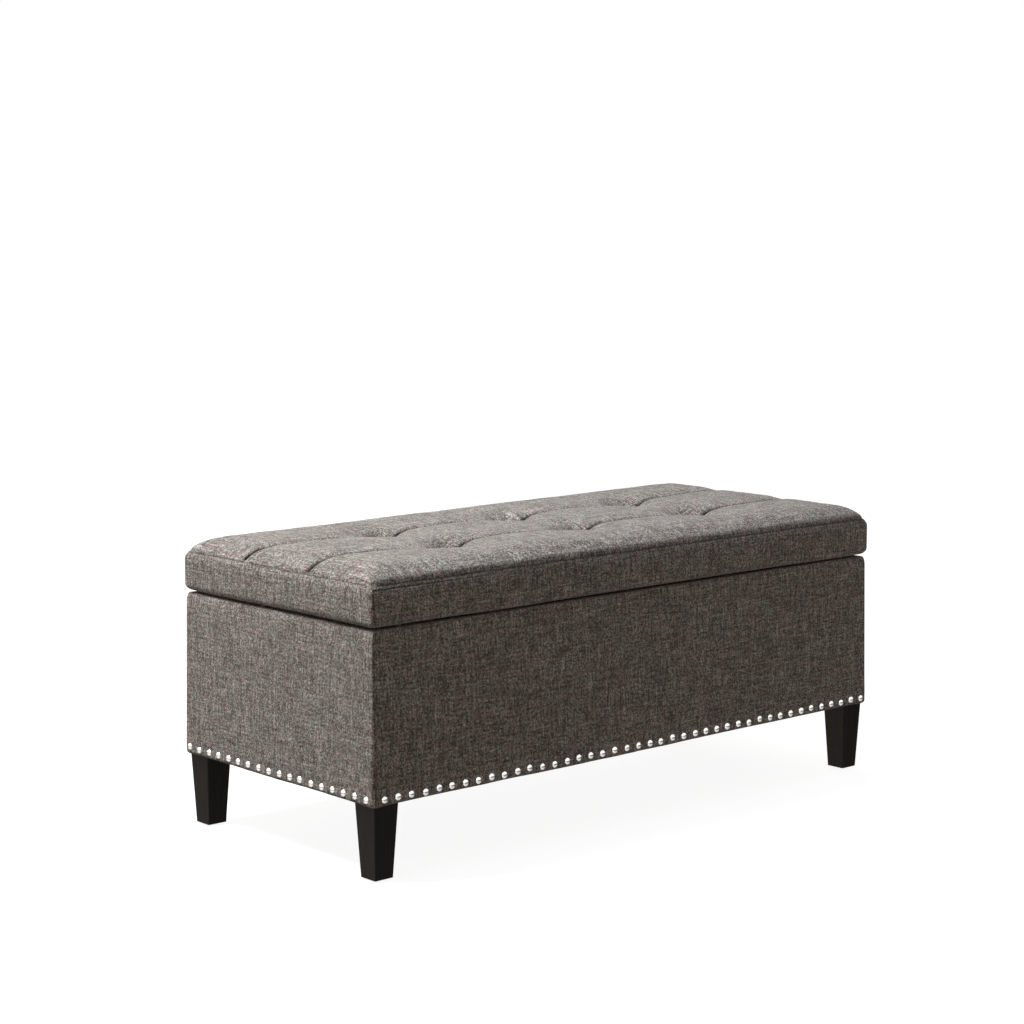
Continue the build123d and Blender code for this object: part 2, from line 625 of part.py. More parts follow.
def stud_solid(s):
    with BuildPart() as bracket:
        with BuildSketch(Plane(origin=(s * PLATE_X, AY, AZ), x_dir=(0, 1, 0), z_dir=(-s, 0, 0))):
            RectangleRounded(44.0, 22.0, 4.0)
        extrude(amount=2.0)
        with BuildSketch(Plane(origin=(s * (PLATE_X - 2.0), AY, AZ), x_dir=(0, 1, 0), z_dir=(-s, 0, 0))):
            Circle(5.0)
        extrude(amount=PLATE_X - 2.0 - STAY_X - STAY_T / 2 - 0.3)
        with BuildSketch(Plane(origin=(s * (PLATE_X - 2.0), AY, AZ), x_dir=(0, 1, 0), z_dir=(-s, 0, 0))):
            Circle(STUD_R)
        extrude(amount=PLATE_X - 2.0 - STAY_X + STAY_T / 2 + 0.4)
        with BuildSketch(Plane(origin=(s * (STAY_X - STAY_T / 2 - 0.3), AY, AZ), x_dir=(0, 1, 0), z_dir=(-s, 0, 0))):
            Circle(6.0)
        extrude(amount=1.6)
    return bracket


stay_left_stud = stud_solid(-1)
keep(stay_left_stud, "stay_left_stud")
stay_right_stud = stud_solid(1)
keep(stay_right_stud, "stay_right_stud")

with BuildPart() as plate_screw:
    with BuildSketch(Plane.XZ):
        with BuildLine():
            Polyline((0, 1.2), (2.0, 1.2), (3.2, 0.4), (3.2, 0), (1.5, 0), (1.5, -12.0), (0, -14.0), (0, 1.2))
        make_face()
    revolve(axis=Axis.Z)

with BuildPart() as stay_stud_screws:
    with Locations(
        *[
            Location((s * (PLATE_X - 2.0), AY + dy, AZ), (0, -90 * s, 0))
            for s in (-1, 1)
            for dy in (-15.0, 15.0)
        ]
    ):
        add(plate_screw.part)
keep(stay_stud_screws, "stay_stud_screws")

EAR_X = STAY_X + STAY_T / 2 + 1.0     # inner face of the ear
EAR_T = 2.0


def ear_solid(s):
    lo = min(s * EAR_X, s * (EAR_X + EAR_T))
    with BuildPart() as ear:
        # flange under the lid
        with BuildSketch(Plane.XY.offset(Z_LID - 2.0)):
            with Locations((s * (EAR_X + EAR_T - 14.0), BY)):
                RectangleRounded(28.0, 46.0, 2.5)
        extrude(amount=2.0)
        # upright ear that carries the rivet
        with BuildSketch(Plane(origin=(lo, 0, 0), x_dir=(0, 1, 0), z_dir=(1, 0, 0))):
            with Locations((BY, BZ)):
                Circle(8.0)
            with Locations((BY, (BZ + Z_LID) / 2 - 0.5)):
                Rectangle(16.0, Z_LID - BZ - 1.0)
        extrude(amount=EAR_T)
        # rivet hole
        with BuildSketch(Plane(origin=(lo - 1, BY, BZ), x_dir=(0, 1, 0), z_dir=(1, 0, 0))):
            Circle(RIVET_R)
        extrude(amount=EAR_T + 2, mode=Mode.SUBTRACT)
    return ear


stay_left_ear = ear_solid(-1)
keep(stay_left_ear, "stay_left_ear")
stay_right_ear = ear_solid(1)
keep(stay_right_ear, "stay_right_ear")


def rivet_solid(s):
    outer = EAR_X + EAR_T
    inner = STAY_X - STAY_T / 2 - 0.3
    with BuildPart() as rivet:
        with BuildSketch(Plane(origin=(s * (outer + 0.8), BY, BZ), x_dir=(0, 1, 0), z_dir=(-s, 0, 0))):
            Circle(4.2)
        extrude(amount=0.8)
        with BuildSketch(Plane(origin=(s * outer, BY, BZ), x_dir=(0, 1, 0), z_dir=(-s, 0, 0))):
            Circle(RIVET_R)
        extrude(amount=outer - inner)
        with BuildSketch(Plane(origin=(s * inner, BY, BZ), x_dir=(0, 1, 0), z_dir=(-s, 0, 0))):
            Circle(5.0)
        extrude(amount=1.4)
    return rivet


stay_left_rivet = rivet_solid(-1)
keep(stay_left_rivet, "stay_left_rivet")
stay_right_rivet = rivet_solid(1)
keep(stay_right_rivet, "stay_right_rivet")

with BuildPart() as ear_screw:
    with BuildSketch(Plane.XZ):
        with BuildLine():
            Polyline((0, 1.2), (2.0, 1.2), (3.2, 0.4), (3.2, 0), (1.5, 0), (1.5, -12.5), (0, -14.0), (0, 1.2))
        make_face()
    revolve(axis=Axis.Z)

with BuildPart() as stay_ear_screws:
    with Locations(
        *[
            Location((s * (EAR_X - 12.0), BY + dy, Z_LID - 2.0), (180, 0, 0))
            for s in (-1, 1)
            for dy in (-15.0, 15.0)
        ]
    ):
        add(ear_screw.part)
keep(stay_ear_screws, "stay_ear_screws")


def arm_solid(s):
    # local x runs down the arm from the rivet, towards the stud
    d = (0, math.sin(lean), -math.cos(lean))
    length = s_open + 14.0
    with BuildPart() as arm:
        with BuildSketch(Plane(origin=(s * STAY_X - STAY_T / 2, BY, BZ), x_dir=d, z_dir=(1, 0, 0))):
            with Locations((length / 2, 0)):
                SlotCenterToCenter(length, STAY_W)
            Circle(RIVET_R + 0.06, mode=Mode.SUBTRACT)
            with Locations(((s_closed + s_open) / 2, 0)):
                SlotCenterToCenter(s_open - s_closed + 1.2, 2 * SLOT_R, mode=Mode.SUBTRACT)
        extrude(amount=STAY_T)
    return arm


stay_left_arm = arm_solid(-1)
keep(stay_left_arm, "stay_left_arm")
stay_right_arm = arm_solid(1)
keep(stay_right_arm, "stay_right_arm")

print(len(EVERYTHING), "nodes")
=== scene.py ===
import json
import math
import bpy
import numpy as np
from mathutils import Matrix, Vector


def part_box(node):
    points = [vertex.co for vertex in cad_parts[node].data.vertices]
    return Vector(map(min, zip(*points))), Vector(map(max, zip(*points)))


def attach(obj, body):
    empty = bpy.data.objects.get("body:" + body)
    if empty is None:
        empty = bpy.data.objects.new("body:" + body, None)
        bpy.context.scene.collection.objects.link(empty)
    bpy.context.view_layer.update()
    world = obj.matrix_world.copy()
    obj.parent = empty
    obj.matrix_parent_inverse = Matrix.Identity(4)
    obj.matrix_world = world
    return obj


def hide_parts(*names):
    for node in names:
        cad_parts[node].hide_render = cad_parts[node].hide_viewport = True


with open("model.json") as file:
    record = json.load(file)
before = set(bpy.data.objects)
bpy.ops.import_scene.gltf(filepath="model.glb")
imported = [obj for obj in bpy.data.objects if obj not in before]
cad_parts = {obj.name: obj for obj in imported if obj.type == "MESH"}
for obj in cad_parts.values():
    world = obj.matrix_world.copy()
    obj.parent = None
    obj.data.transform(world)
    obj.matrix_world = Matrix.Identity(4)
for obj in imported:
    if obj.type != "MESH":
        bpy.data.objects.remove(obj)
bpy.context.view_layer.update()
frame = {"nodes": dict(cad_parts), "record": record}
N = frame["nodes"]

# ------------------------------------------------------------------ camera, stage, light
scene = bpy.context.scene
scene.view_settings.view_transform = "Standard"
scene.view_settings.look = "None"
scene.view_settings.exposure = 0.0
scene.view_settings.gamma = 1.0

cam_data = bpy.data.cameras.new("camera")
cam = bpy.data.objects.new("camera", cam_data)
scene.collection.objects.link(cam)
cam_data.sensor_width = 36.0
cam_data.lens = 2394.8 / 1024 * 36
cam_data.clip_start, cam_data.clip_end = 0.05, 60
cam.location = (-2.6000, -2.8366, 0.9788)
cam.rotation_euler = (math.radians(90 - 7.576), 0, math.radians(-41.810))
scene.camera = cam


def node_material(name):
    m = bpy.data.materials.new(name)
    m.use_nodes = True
    nt = m.node_tree
    nt.nodes.clear()
    out = nt.nodes.new("ShaderNodeOutputMaterial")
    bsdf = nt.nodes.new("ShaderNodeBsdfPrincipled")
    nt.links.new(bsdf.outputs["BSDF"], out.inputs["Surface"])
    return m, nt, bsdf, out


class G:
    """Short helpers for building node graphs."""

    def __init__(self, nt):
        self.nt = nt

    def link(self, a, b):
        self.nt.links.new(a, b)

    def _in(self, sock, v):
        if isinstance(v, bpy.types.NodeSocket):
            self.nt.links.new(v, sock)
        else:
            sock.default_value = v

    def math(self, op, a, b=None, c=None, clamp=False):
        n = self.nt.nodes.new("ShaderNodeMath")
        n.operation = op
        n.use_clamp = clamp
        self._in(n.inputs[0], a)
        if b is not None:
            self._in(n.inputs[1], b)
        if c is not None:
            self._in(n.inputs[2], c)
        return n.outputs[0]

    def combine(self, x, y, z=0.0):
        n = self.nt.nodes.new("ShaderNodeCombineXYZ")
        for i, v in enumerate((x, y, z)):
            self._in(n.inputs[i], v)
        return n.outputs[0]

    def separate(self, v):
        n = self.nt.nodes.new("ShaderNodeSeparateXYZ")
        self._in(n.inputs[0], v)
        return n.outputs

    def noise(self, vec, scale=1.0, detail=1.0, rough=0.5, dims="3D", dist=0.0):
        n = self.nt.nodes.new("ShaderNodeTexNoise")
        n.noise_dimensions = dims
        self._in(n.inputs["Vector"], vec)
        n.inputs["Scale"].default_value = scale
        n.inputs["Detail"].default_value = detail
        n.inputs["Roughness"].default_value = rough
        n.inputs["Distortion"].default_value = dist
        return n.outputs["Fac"]

    def ramp(self, fac, stops, interp="LINEAR"):
        n = self.nt.nodes.new("ShaderNodeValToRGB")
        n.color_ramp.interpolation = interp
        el = n.color_ramp.elements
        while len(el) > 1:
            el.remove(el[-1])
        el[0].position = stops[0][0]
        el[0].color = (*stops[0][1], 1)
        for p, c in stops[1:]:
            e = el.new(p)
            e.color = (*c, 1)
        self._in(n.inputs[0], fac)
        return n.outputs["Color"]

    def mix(self, fac, a, b, mode="MIX"):
        n = self.nt.nodes.new("ShaderNodeMix")
        n.data_type = "RGBA"
        n.blend_type = mode
        self._in(n.inputs[0], fac)
        for i, v in ((6, a), (7, b)):
            if isinstance(v, tuple) and len(v) == 3:
                v = (*v, 1)
            self._in(n.inputs[i], v)
        return n.outputs[2]

    def maprange(self, v, a, b, c, d):
        n = self.nt.nodes.new("ShaderNodeMapRange")
        self._in(n.inputs[0], v)
        for i, x in enumerate((a, b, c, d)):
            n.inputs[i + 1].default_value = x
        return n.outputs[0]

    def uv(self, name):
        n = self.nt.nodes.new("ShaderNodeUVMap")
        n.uv_map = name
        return n.outputs[0]

    def obj(self):
        return self.nt.nodes.new("ShaderNodeTexCoord").outputs["Object"]

    def scale(self, vec, s):
        n = self.nt.nodes.new("ShaderNodeMapping")
        self._in(n.inputs["Vector"], vec)
        n.inputs["Scale"].default_value = s
        return n.outputs[0]

    def bump(self, height, strength, distance, normal=None):
        n = self.nt.nodes.new("ShaderNodeBump")
        n.inputs["Strength"].default_value = strength
        n.inputs["Distance"].default_value = distance
        self._in(n.inputs["Height"], height)
        if normal is not None:
            self.link(normal, n.inputs["Normal"])
        return n.outputs[0]


# floor and backdrop
def make_floor():
    me = bpy.data.meshes.new("floor")
    s = 30.0
    me.from_pydata([(-s, -s, 0), (s, -s, 0), (s, s, 0), (-s, s, 0)], [], [(0, 1, 2, 3)])
    o = bpy.data.objects.new("floor", me)
    scene.collection.objects.link(o)
    m, nt, bsdf, out = node_material("floor_pale")
    bsdf.inputs["Base Color"].default_value = (0.35, 0.35, 0.35, 1)
    bsdf.inputs["Roughness"].default_value = 0.9
    bsdf.inputs["Specular IOR Level"].default_value = 0.1
    bsdf.inputs["Emission Color"].default_value = (1, 1, 1, 1)
    bsdf.inputs["Emission Strength"].default_value = 0.91
    me.materials.append(m)
    o.visible_diffuse = False
    o.visible_glossy = False
    return o


make_floor()

world = bpy.data.worlds.new("studio")
scene.world = world
world.use_nodes = True
wn = world.node_tree
wn.nodes.clear()
WG = G(wn)
wout = wn.nodes.new("ShaderNodeOutputWorld")


def background(colour, strength):
    n = wn.nodes.new("ShaderNodeBackground")
    if isinstance(colour, tuple):
        n.inputs["Color"].default_value = (*colour, 1)
    else:
        wn.links.new(colour, n.inputs["Color"])
    n.inputs["Strength"].default_value = strength
    return n.outputs[0]


def blend_shaders(fac, a, b):
    n = wn.nodes.new("ShaderNodeMixShader")
    wn.links.new(fac, n.inputs[0])
    wn.links.new(a, n.inputs[1])
    wn.links.new(b, n.inputs[2])
    return n.outputs[0]


lp = wn.nodes.new("ShaderNodeLightPath")
sky_z = WG.separate(wn.nodes.new("ShaderNodeTexCoord").outputs["Generated"])[2]
studio = WG.ramp(WG.maprange(sky_z, -1.0, 1.0, 0.0, 1.0),
                 [(0.0, (0.85, 0.85, 0.85)), (0.22, (0.75, 0.75, 0.75)), (0.33, (0.45, 0.45, 0.45)), (0.375, (0.07, 0.07, 0.07)), (0.46, (0.06, 0.06, 0.06)), (0.50, (0.32, 0.32, 0.32)),
                  (0.54, (0.60, 0.60, 0.60)), (0.60, (0.95, 0.95, 0.95)), (0.70, (1.4, 1.4, 1.4)), (0.85, (1.6, 1.6, 1.6)), (1.0, (1.1, 1.1, 1.1))])
sky_x = WG.separate(wn.nodes.new("ShaderNodeTexCoord").outputs["Generated"])[0]
side_box = WG.ramp(WG.math("MULTIPLY", sky_x, -1.0), [(0.25, (0.0, 0.0, 0.0)), (0.75, (0.62, 0.54, 0.47))])
studio = WG.mix(1.0, studio, side_box, "ADD")
mixed = blend_shaders(lp.outputs["Is Glossy Ray"], background((1.0, 0.885, 0.810), 0.186), background(studio, 1.0))
mixed = blend_shaders(lp.outputs["Is Camera Ray"], mixed, background((1, 1, 1), 1.0))
wn.links.new(mixed, wout.inputs["Surface"])


def area(name, loc, target, size, power, colour=(1, 1, 1), size_y=None):
    d = bpy.data.lights.new(name, "AREA")
    d.shape = "RECTANGLE" if size_y else "SQUARE"
    d.size = size
    if size_y:
        d.size_y = size_y
    d.energy = power
    d.color = colour
    o = bpy.data.objects.new(name, d)
    scene.collection.objects.link(o)
    o.location = loc
    o.rotation_euler = (Vector(target) - Vector(loc)).to_track_quat("-Z", "Y").to_euler()
    o.visible_camera = False
    return o


area("key", (-1.38, 0.60, 2.53), (0.0, 0.0, 0.35), 0.85, 70, (1.0, 0.990, 0.990))
area("overhead", (0.0, 0.1, 3.0), (0.0, 0.0, 0.4), 1.6, 10.0, (0.42, 0.76, 1.0))
area("back_fill", (1.9, 2.6, 1.6), (0.0, 0.0, 0.25), 1.6, 15, (1.0, 0.98, 0.96))

# ------------------------------------------------------------------ noise and mesh helpers


def _hash(ix, iy, seed):
    h = np.sin(ix * 127.1 + iy * 311.7 + seed * 74.7) * 43758.5453
    return h - np.floor(h)


def vnoise(x, y, seed=0):
    """Smooth value noise from -1 to 1."""
    x = np.asarray(x, float)
    y = np.asarray(y, float) + 0 * x
    ix, iy = np.floor(x), np.floor(y)
    fx, fy = x - ix, y - iy
    fx = fx * fx * (3 - 2 * fx)
    fy = fy * fy * (3 - 2 * fy)
    a, b = _hash(ix, iy, seed), _hash(ix + 1, iy, seed)
    c, d = _hash(ix, iy + 1, seed), _hash(ix + 1, iy + 1, seed)
    return 2 * ((a * (1 - fx) + b * fx) * (1 - fy) + (c * (1 - fx) + d * fx) * fy) - 1


def fbm(x, y, seed=0, octaves=3):
    s, amp, f = 0, 1.0, 1.0
    for k in range(octaves):
        s = s + amp * vnoise(np.asarray(x) * f, np.asarray(y) * f, seed + 13 * k)
        amp *= 0.5
        f *= 2.03
    return s


def smooth01(t):
    t = np.clip(t, 0, 1)
    return t * t * (3 - 2 * t)


def build(name, verts, faces, uvs=None, mat_index=None, mats=(), smooth=True, thread_and_painted_shade=None):
    me = bpy.data.meshes.new(name)
    me.from_pydata([tuple(v) for v in verts], [], [tuple(int(i) for i in f) for f in faces])
    if uvs is not None:
        layer = me.uv_layers.new(name="weave")
        layer.data.foreach_set("uv", np.asarray(uvs, np.float32).ravel())
    if thread_and_painted_shade is not None:
        at = me.attributes.new("thread_and_painted_shade", "FLOAT", "POINT")
        at.data.foreach_set("value", np.asarray(thread_and_painted_shade, np.float32))
    for m in mats:
        me.materials.append(m)
    if mat_index is not None:
        me.polygons.foreach_set("material_index", np.asarray(mat_index, np.int32))
    me.polygons.foreach_set("use_smooth", np.full(len(me.polygons), smooth))
    me.update()
    o = bpy.data.objects.new(name, me)
    scene.collection.objects.link(o)
    return o


class Soup:
    """Collects quads with their own UVs, then welds the points that coincide."""

    def __init__(self):
        self.v, self.f, self.uv, self.m, self.c = [], [], [], [], []
        self.n = 0

    def grid(self, P, U, flip=False, mat=0, thread_and_painted_shade=None):
        h, w = P.shape[:2]
        base = self.n
        self.v.append(P.reshape(-1, 3))
        self.c.append((np.zeros((h, w)) if thread_and_painted_shade is None else thread_and_painted_shade).reshape(-1))
        self.n += h * w
        idx = np.arange(h * w).reshape(h, w) + base
        q = np.stack([idx[:-1, :-1], idx[:-1, 1:], idx[1:, 1:], idx[1:, :-1]], -1).reshape(-1, 4)
        uu = U
        quv = np.stack([uu[:-1, :-1], uu[:-1, 1:], uu[1:, 1:], uu[1:, :-1]], -2).reshape(-1, 4, 2)
        if flip:
            q = q[:, ::-1]
            quv = quv[:, ::-1]
        self.f.append(q)
        self.uv.append(quv)
        self.m.append(np.full(len(q), mat))

    def weld(self, tol=2e-5):
        v = np.concatenate(self.v)
        f = np.concatenate(self.f)
        uv = np.concatenate(self.uv)
        m = np.concatenate(self.m)
        key = np.round(v / tol).astype(np.int64)
        _, first, inv = np.unique(key, axis=0, return_index=True, return_inverse=True)
        inv = inv.reshape(-1)
        f = inv[f]
        c = np.zeros(len(first))
        np.maximum.at(c, inv, np.concatenate(self.c))
        self.thread_and_painted_shade = c
        v = v[first]
        ok = np.array([(a != b) & (b != c) & (c != d) & (d != a) & (a != c) & (b != d) for a, b, c, d in [f.T]]).reshape(-1)
        return v, f[ok], uv[ok], m[ok]


# ------------------------------------------------------------------ materials


def tweed(name, pitch=0.0016, gain=1.08, seed=0.0):
    """A heathered plain weave: every thread has its own shade and changes along its length, so streaks run both ways."""
    m, nt, bsdf, out = node_material(name)
    g = G(nt)
    u, v, _ = g.separate(g.uv("weave"))
    wob = g.math("MULTIPLY", g.math("SUBTRACT", g.noise(g.combine(u, v, seed), 14.0, 2.0, 0.5), 0.5), 0.0034)
    wob2 = g.math("MULTIPLY", g.math("SUBTRACT", g.noise(g.combine(v, u, seed + 3.0), 14.0, 2.0, 0.5), 0.5), 0.0034)
    us = g.math("DIVIDE", g.math("ADD", u, wob), pitch)
    vs = g.math("DIVIDE", g.math("ADD", v, wob2), pitch * 1.08)
    iu, iv = g.math("FLOOR", us), g.math("FLOOR", vs)
    fu, fv = g.math("FRACT", us), g.math("FRACT", vs)

    def centred(x, k):
        return g.math("MULTIPLY", g.math("SUBTRACT", x, 0.5), k)

    def along(i, x, mul, rate, z, detail=1.0):
        return g.noise(g.combine(g.math("MULTIPLY", i, mul), g.math("MULTIPLY", x, rate), seed + z), 1.0, detail, 0.55)

    # each thread's shade along its length
    warp = along(iu, v, 7.31, 26.0, 0.0, 2.0)
    weft = along(iv, u, 5.77, 20.0, 9.0, 2.0)
    # thicker yarns, two threads wide
    iu2 = g.math("FLOOR", g.math("DIVIDE", us, 2.3))
    iv2 = g.math("FLOOR", g.math("DIVIDE", vs, 2.1))
    slub_w = along(iu2, v, 6.13, 34.0, 41.0)
    slub_f = along(iv2, u, 6.71, 24.0, 57.0)
    warp_t = along(iu2, v, 3.19, 62.0, 21.0)
    weft_t = along(iv2, u, 4.41, 52.0, 33.0)
    # the spun fibres differ from one crossing to the next
    wn = nt.nodes.new("ShaderNodeTexWhiteNoise")
    wn.noise_dimensions = "3D"
    g.link(g.combine(iu, iv, seed + 0.5), wn.inputs["Vector"])
    par = g.math("MODULO", g.math("ABSOLUTE", g.math("ADD", iu, iv)), 2.0)
    t = g.math("ADD", centred(warp, 0.52), centred(weft, 0.40))
    t = g.math("ADD", t, g.math("ADD", centred(slub_w, 0.13), centred(slub_f, 0.05)))
    t = g.math("ADD", t, centred(wn.outputs["Value"], 0.36))
    t = g.math("ADD", t, centred(g.noise(g.combine(u, v, seed + 4.0), 1300.0, 1.0, 0.5), 0.34))
    t = g.math("ADD", t, g.math("MULTIPLY", centred(par, 0.10), g.math("SUBTRACT", g.math("ADD", fu, fv), 0.4)))
    t = g.math("ADD", t, 0.5)
    k = gain
    stops = [
        (0.20, (0.030 * k, 0.024 * k, 0.020 * k)),
        (0.34, (0.074 * k, 0.062 * k, 0.053 * k)),
        (0.50, (0.178 * k, 0.158 * k, 0.141 * k)),
        (0.62, (0.330 * k, 0.303 * k, 0.277 * k)),
        (0.80, (0.640 * k, 0.600 * k, 0.560 * k)),
    ]
    col = g.ramp(t, stops)
    tint = [
        (0.34, (0.95, 1.012, 1.005)),
        (0.45, (0.995, 1.003, 1.002)),
        (0.60, (1.0, 1.0, 1.0)),
        (0.72, (1.16, 0.90, 0.94)),
    ]
    col = g.mix(1.0, col, g.ramp(warp_t, tint), "MULTIPLY")
    col = g.mix(1.0, col, g.ramp(weft_t, tint), "MULTIPLY")
    # soft colour clouds over a few centimetres
    cloud = g.noise(g.combine(u, v, seed + 70.0), 36.0, 3.0, 0.6)
    cloud2 = g.noise(g.combine(v, u, seed + 80.0), 13.0, 2.0, 0.6)
    col = g.mix(1.0, col, g.ramp(cloud, [(0.3, (0.955, 0.99, 0.98)), (0.5, (1, 1, 1)), (0.7, (1.045, 1.00, 1.01))]), "MULTIPLY")
    col = g.mix(1.0, col, g.ramp(cloud2, [(0.3, (0.95, 0.95, 0.95)), (0.7, (1.05, 1.05, 1.05))]), "MULTIPLY")
    # thread relief: over and under
    hu = g.math("SINE", g.math("MULTIPLY", fu, math.pi))
    hv = g.math("SINE", g.math("MULTIPLY", fv, math.pi))
    mixer = nt.nodes.new("ShaderNodeMix")
    mixer.data_type = "FLOAT"
    nt.links.new(par, mixer.inputs[0])
    nt.links.new(g.math("MULTIPLY", hu, g.math("ADD", g.math("MULTIPLY", hv, 0.5), 0.5)), mixer.inputs[2])
    nt.links.new(g.math("MULTIPLY", hv, g.math("ADD", g.math("MULTIPLY", hu, 0.5), 0.5)), mixer.inputs[3])
    h = mixer.outputs[0]
    h = g.math("ADD", h, g.math("MULTIPLY", g.math("ADD", slub_w, slub_f), 0.9))
    fuzz = g.noise(g.combine(u, v, seed + 90.0), 3200.0, 2.0, 0.7)
    h = g.math("ADD", h, g.math("MULTIPLY", fuzz, 0.20))
    # the weave's low parts are painted darker as shade and its raised threads lighter as light
    col = g.mix(1.0, col, g.ramp(h, [(0.6, (0.60, 0.60, 0.60)), (1.6, (1.22, 1.22, 1.22))]), "MULTIPLY")
    # stitch lines, seam folds, pits and turned edges: painted shade where the attribute is high, with the stitch
    # thread's little red in it
    at = nt.nodes.new("ShaderNodeAttribute")
    at.attribute_type = "GEOMETRY"
    at.attribute_name = "thread_and_painted_shade"
    col = g.mix(at.outputs["Fac"], col, g.mix(1.0, col, (0.085, 0.064, 0.062), "MULTIPLY"))
    g.link(col, bsdf.inputs["Base Color"])
    g.link(g.maprange(h, 0.4, 2.2, 0.95, 0.78), bsdf.inputs["Roughness"])
    g.link(g.bump(h, 0.50, 0.00045), bsdf.inputs["Normal"])
    bsdf.inputs["Specular IOR Level"].default_value = 0.15
    bsdf.inputs["Sheen Weight"].default_value = 0.25
    bsdf.inputs["Sheen Roughness"].default_value = 0.5
    bsdf.inputs["Sheen Tint"].default_value = (0.96, 0.98, 1.0, 1)
    return m


def nonwoven(name, colour):
    m, nt, bsdf, out = node_material(name)
    g = G(nt)
    p = g.obj()
    fib = g.noise(p, 900.0, 3.0, 0.7)
    blot = g.noise(p, 60.0, 2.0, 0.5)
    v = nt.nodes.new("ShaderNodeTexVoronoi")
    v.inputs["Scale"].default_value = 620.0
    g.link(p, v.inputs["Vector"])
    h = g.math("ADD", g.math("MULTIPLY", fib, 0.6), g.math("MULTIPLY", v.outputs["Distance"], 0.5))
    c = tuple(x * 0.7 for x in colour)
    d = tuple(min(1, x * 1.5) for x in colour)
    col = g.mix(g.maprange(fib, 0.3, 0.7, 0.0, 1.0), c, d)
    col = g.mix(1.0, col, g.ramp(blot, [(0.35, (0.9, 0.9, 0.9)), (0.65, (1.1, 1.1, 1.1))]), "MULTIPLY")
    g.link(col, bsdf.inputs["Base Color"])
    g.link(g.maprange(fib, 0.3, 0.7, 0.95, 0.75), bsdf.inputs["Roughness"])
    g.link(g.bump(h, 0.6, 0.0003), bsdf.inputs["Normal"])
    bsdf.inputs["Specular IOR Level"].default_value = 0.25
    return m


def dark_wood(name):
    m, nt, bsdf, out = node_material(name)
    g = G(nt)
    p = g.obj()
    grain = g.noise(g.scale(p, (260.0, 260.0, 9.0)), 1.0, 4.0, 0.62, dist=0.6)
    pores = g.noise(g.scale(p, (1500.0, 1500.0, 60.0)), 1.0, 2.0, 0.6)
    blot = g.noise(p, 22.0, 3.0, 0.6)
    col = g.ramp(grain, [(0.30, (0.0050, 0.0040, 0.0030)), (0.50, (0.0100, 0.0078, 0.0058)), (0.68, (0.0190, 0.0138, 0.0098))])
    col = g.mix(1.0, col, g.ramp(blot, [(0.35, (0.85, 0.85, 0.85)), (0.65, (1.15, 1.12, 1.1))]), "MULTIPLY")
    # lacquer rubbed a little lighter along the sharp edges
    geo = nt.nodes.new("ShaderNodeNewGeometry")
    edge = g.maprange(geo.outputs["Pointiness"], 0.53, 0.62, 0.0, 0.5)
    col = g.mix(edge, col, (0.030, 0.022, 0.016))
    g.link(col, bsdf.inputs["Base Color"])
    g.link(g.maprange(grain, 0.3, 0.7, 0.24, 0.36), bsdf.inputs["Roughness"])
    h = g.math("ADD", g.math("MULTIPLY", grain, 0.5), g.math("MULTIPLY", pores, 0.5))
    g.link(g.bump(h, 0.25, 0.0003), bsdf.inputs["Normal"])
    bsdf.inputs["Specular IOR Level"].default_value = 0.15
    bsdf.inputs["Coat Weight"].default_value = 0.04
    bsdf.inputs["Coat Roughness"].default_value = 0.25
    return m


def metal(name, colour, rough, scale=400.0, bump=0.12, brushed=False):
    m, nt, bsdf, out = node_material(name)
    g = G(nt)
    p = g.obj()
    q = g.scale(p, (40.0, scale * 3, scale * 3)) if brushed else g.scale(p, (scale, scale, scale))
    n1 = g.noise(q, 1.0, 3.0, 0.6)
    n2 = g.noise(p, 90.0, 3.0, 0.6)
    a = tuple(x * 0.86 for x in colour)
    g.link(g.mix(n2, a, colour), bsdf.inputs["Base Color"])
    g.link(g.maprange(g.math("ADD", g.math("MULTIPLY", n1, 0.5), g.math("MULTIPLY", n2, 0.5)), 0.3, 0.7, rough * 0.7, rough * 1.4), bsdf.inputs["Roughness"])
    g.link(g.bump(n1, bump, 0.0001), bsdf.inputs["Normal"])
    bsdf.inputs["Metallic"].default_value = 1.0
    return m


def plastic(name, colour):
    m, nt, bsdf, out = node_material(name)
    g = G(nt)
    p = g.obj()
    n1 = g.noise(p, 1400.0, 2.0, 0.6)
    n2 = g.noise(p, 80.0, 3.0, 0.6)
    a = tuple(x * 0.8 for x in colour)
    b = tuple(x * 1.25 for x in colour)
    g.link(g.mix(n2, a, b), bsdf.inputs["Base Color"])
    g.link(g.maprange(n1, 0.3, 0.7, 0.45, 0.65), bsdf.inputs["Roughness"])
    g.link(g.bump(n1, 0.3, 0.0001), bsdf.inputs["Normal"])
    return m


def board_material(name):
    m, nt, bsdf, out = node_material(name)
    g = G(nt)
    p = g.obj()
    grain = g.noise(g.scale(p, (6.0, 90.0, 90.0)), 1.0, 4.0, 0.6, dist=0.4)
    fine = g.noise(g.scale(p, (60.0, 900.0, 900.0)), 1.0, 2.0, 0.6)
    col = g.ramp(grain, [(0.3, (0.40, 0.29, 0.18)), (0.5, (0.56, 0.43, 0.29)), (0.7, (0.68, 0.55, 0.39))])
    g.link(col, bsdf.inputs["Base Color"])
    g.link(g.maprange(fine, 0.3, 0.7, 0.6, 0.8), bsdf.inputs["Roughness"])
    g.link(g.bump(fine, 0.3, 0.0002), bsdf.inputs["Normal"])
    return m


def foam_material(name, colour):
    m, nt, bsdf, out = node_material(name)
    g = G(nt)
    p = g.obj()
    v = nt.nodes.new("ShaderNodeTexVoronoi")
    v.inputs["Scale"].default_value = 900.0
    g.link(p, v.inputs["Vector"])
    n2 = g.noise(p, 40.0, 3.0, 0.6)
    a = tuple(x * 0.85 for x in colour)
    g.link(g.mix(n2, a, colour), bsdf.inputs["Base Color"])
    g.link(g.maprange(n2, 0.3, 0.7, 0.85, 0.95), bsdf.inputs["Roughness"])
    g.link(g.bump(v.outputs["Distance"], 0.6, 0.0004), bsdf.inputs["Normal"])
    return m


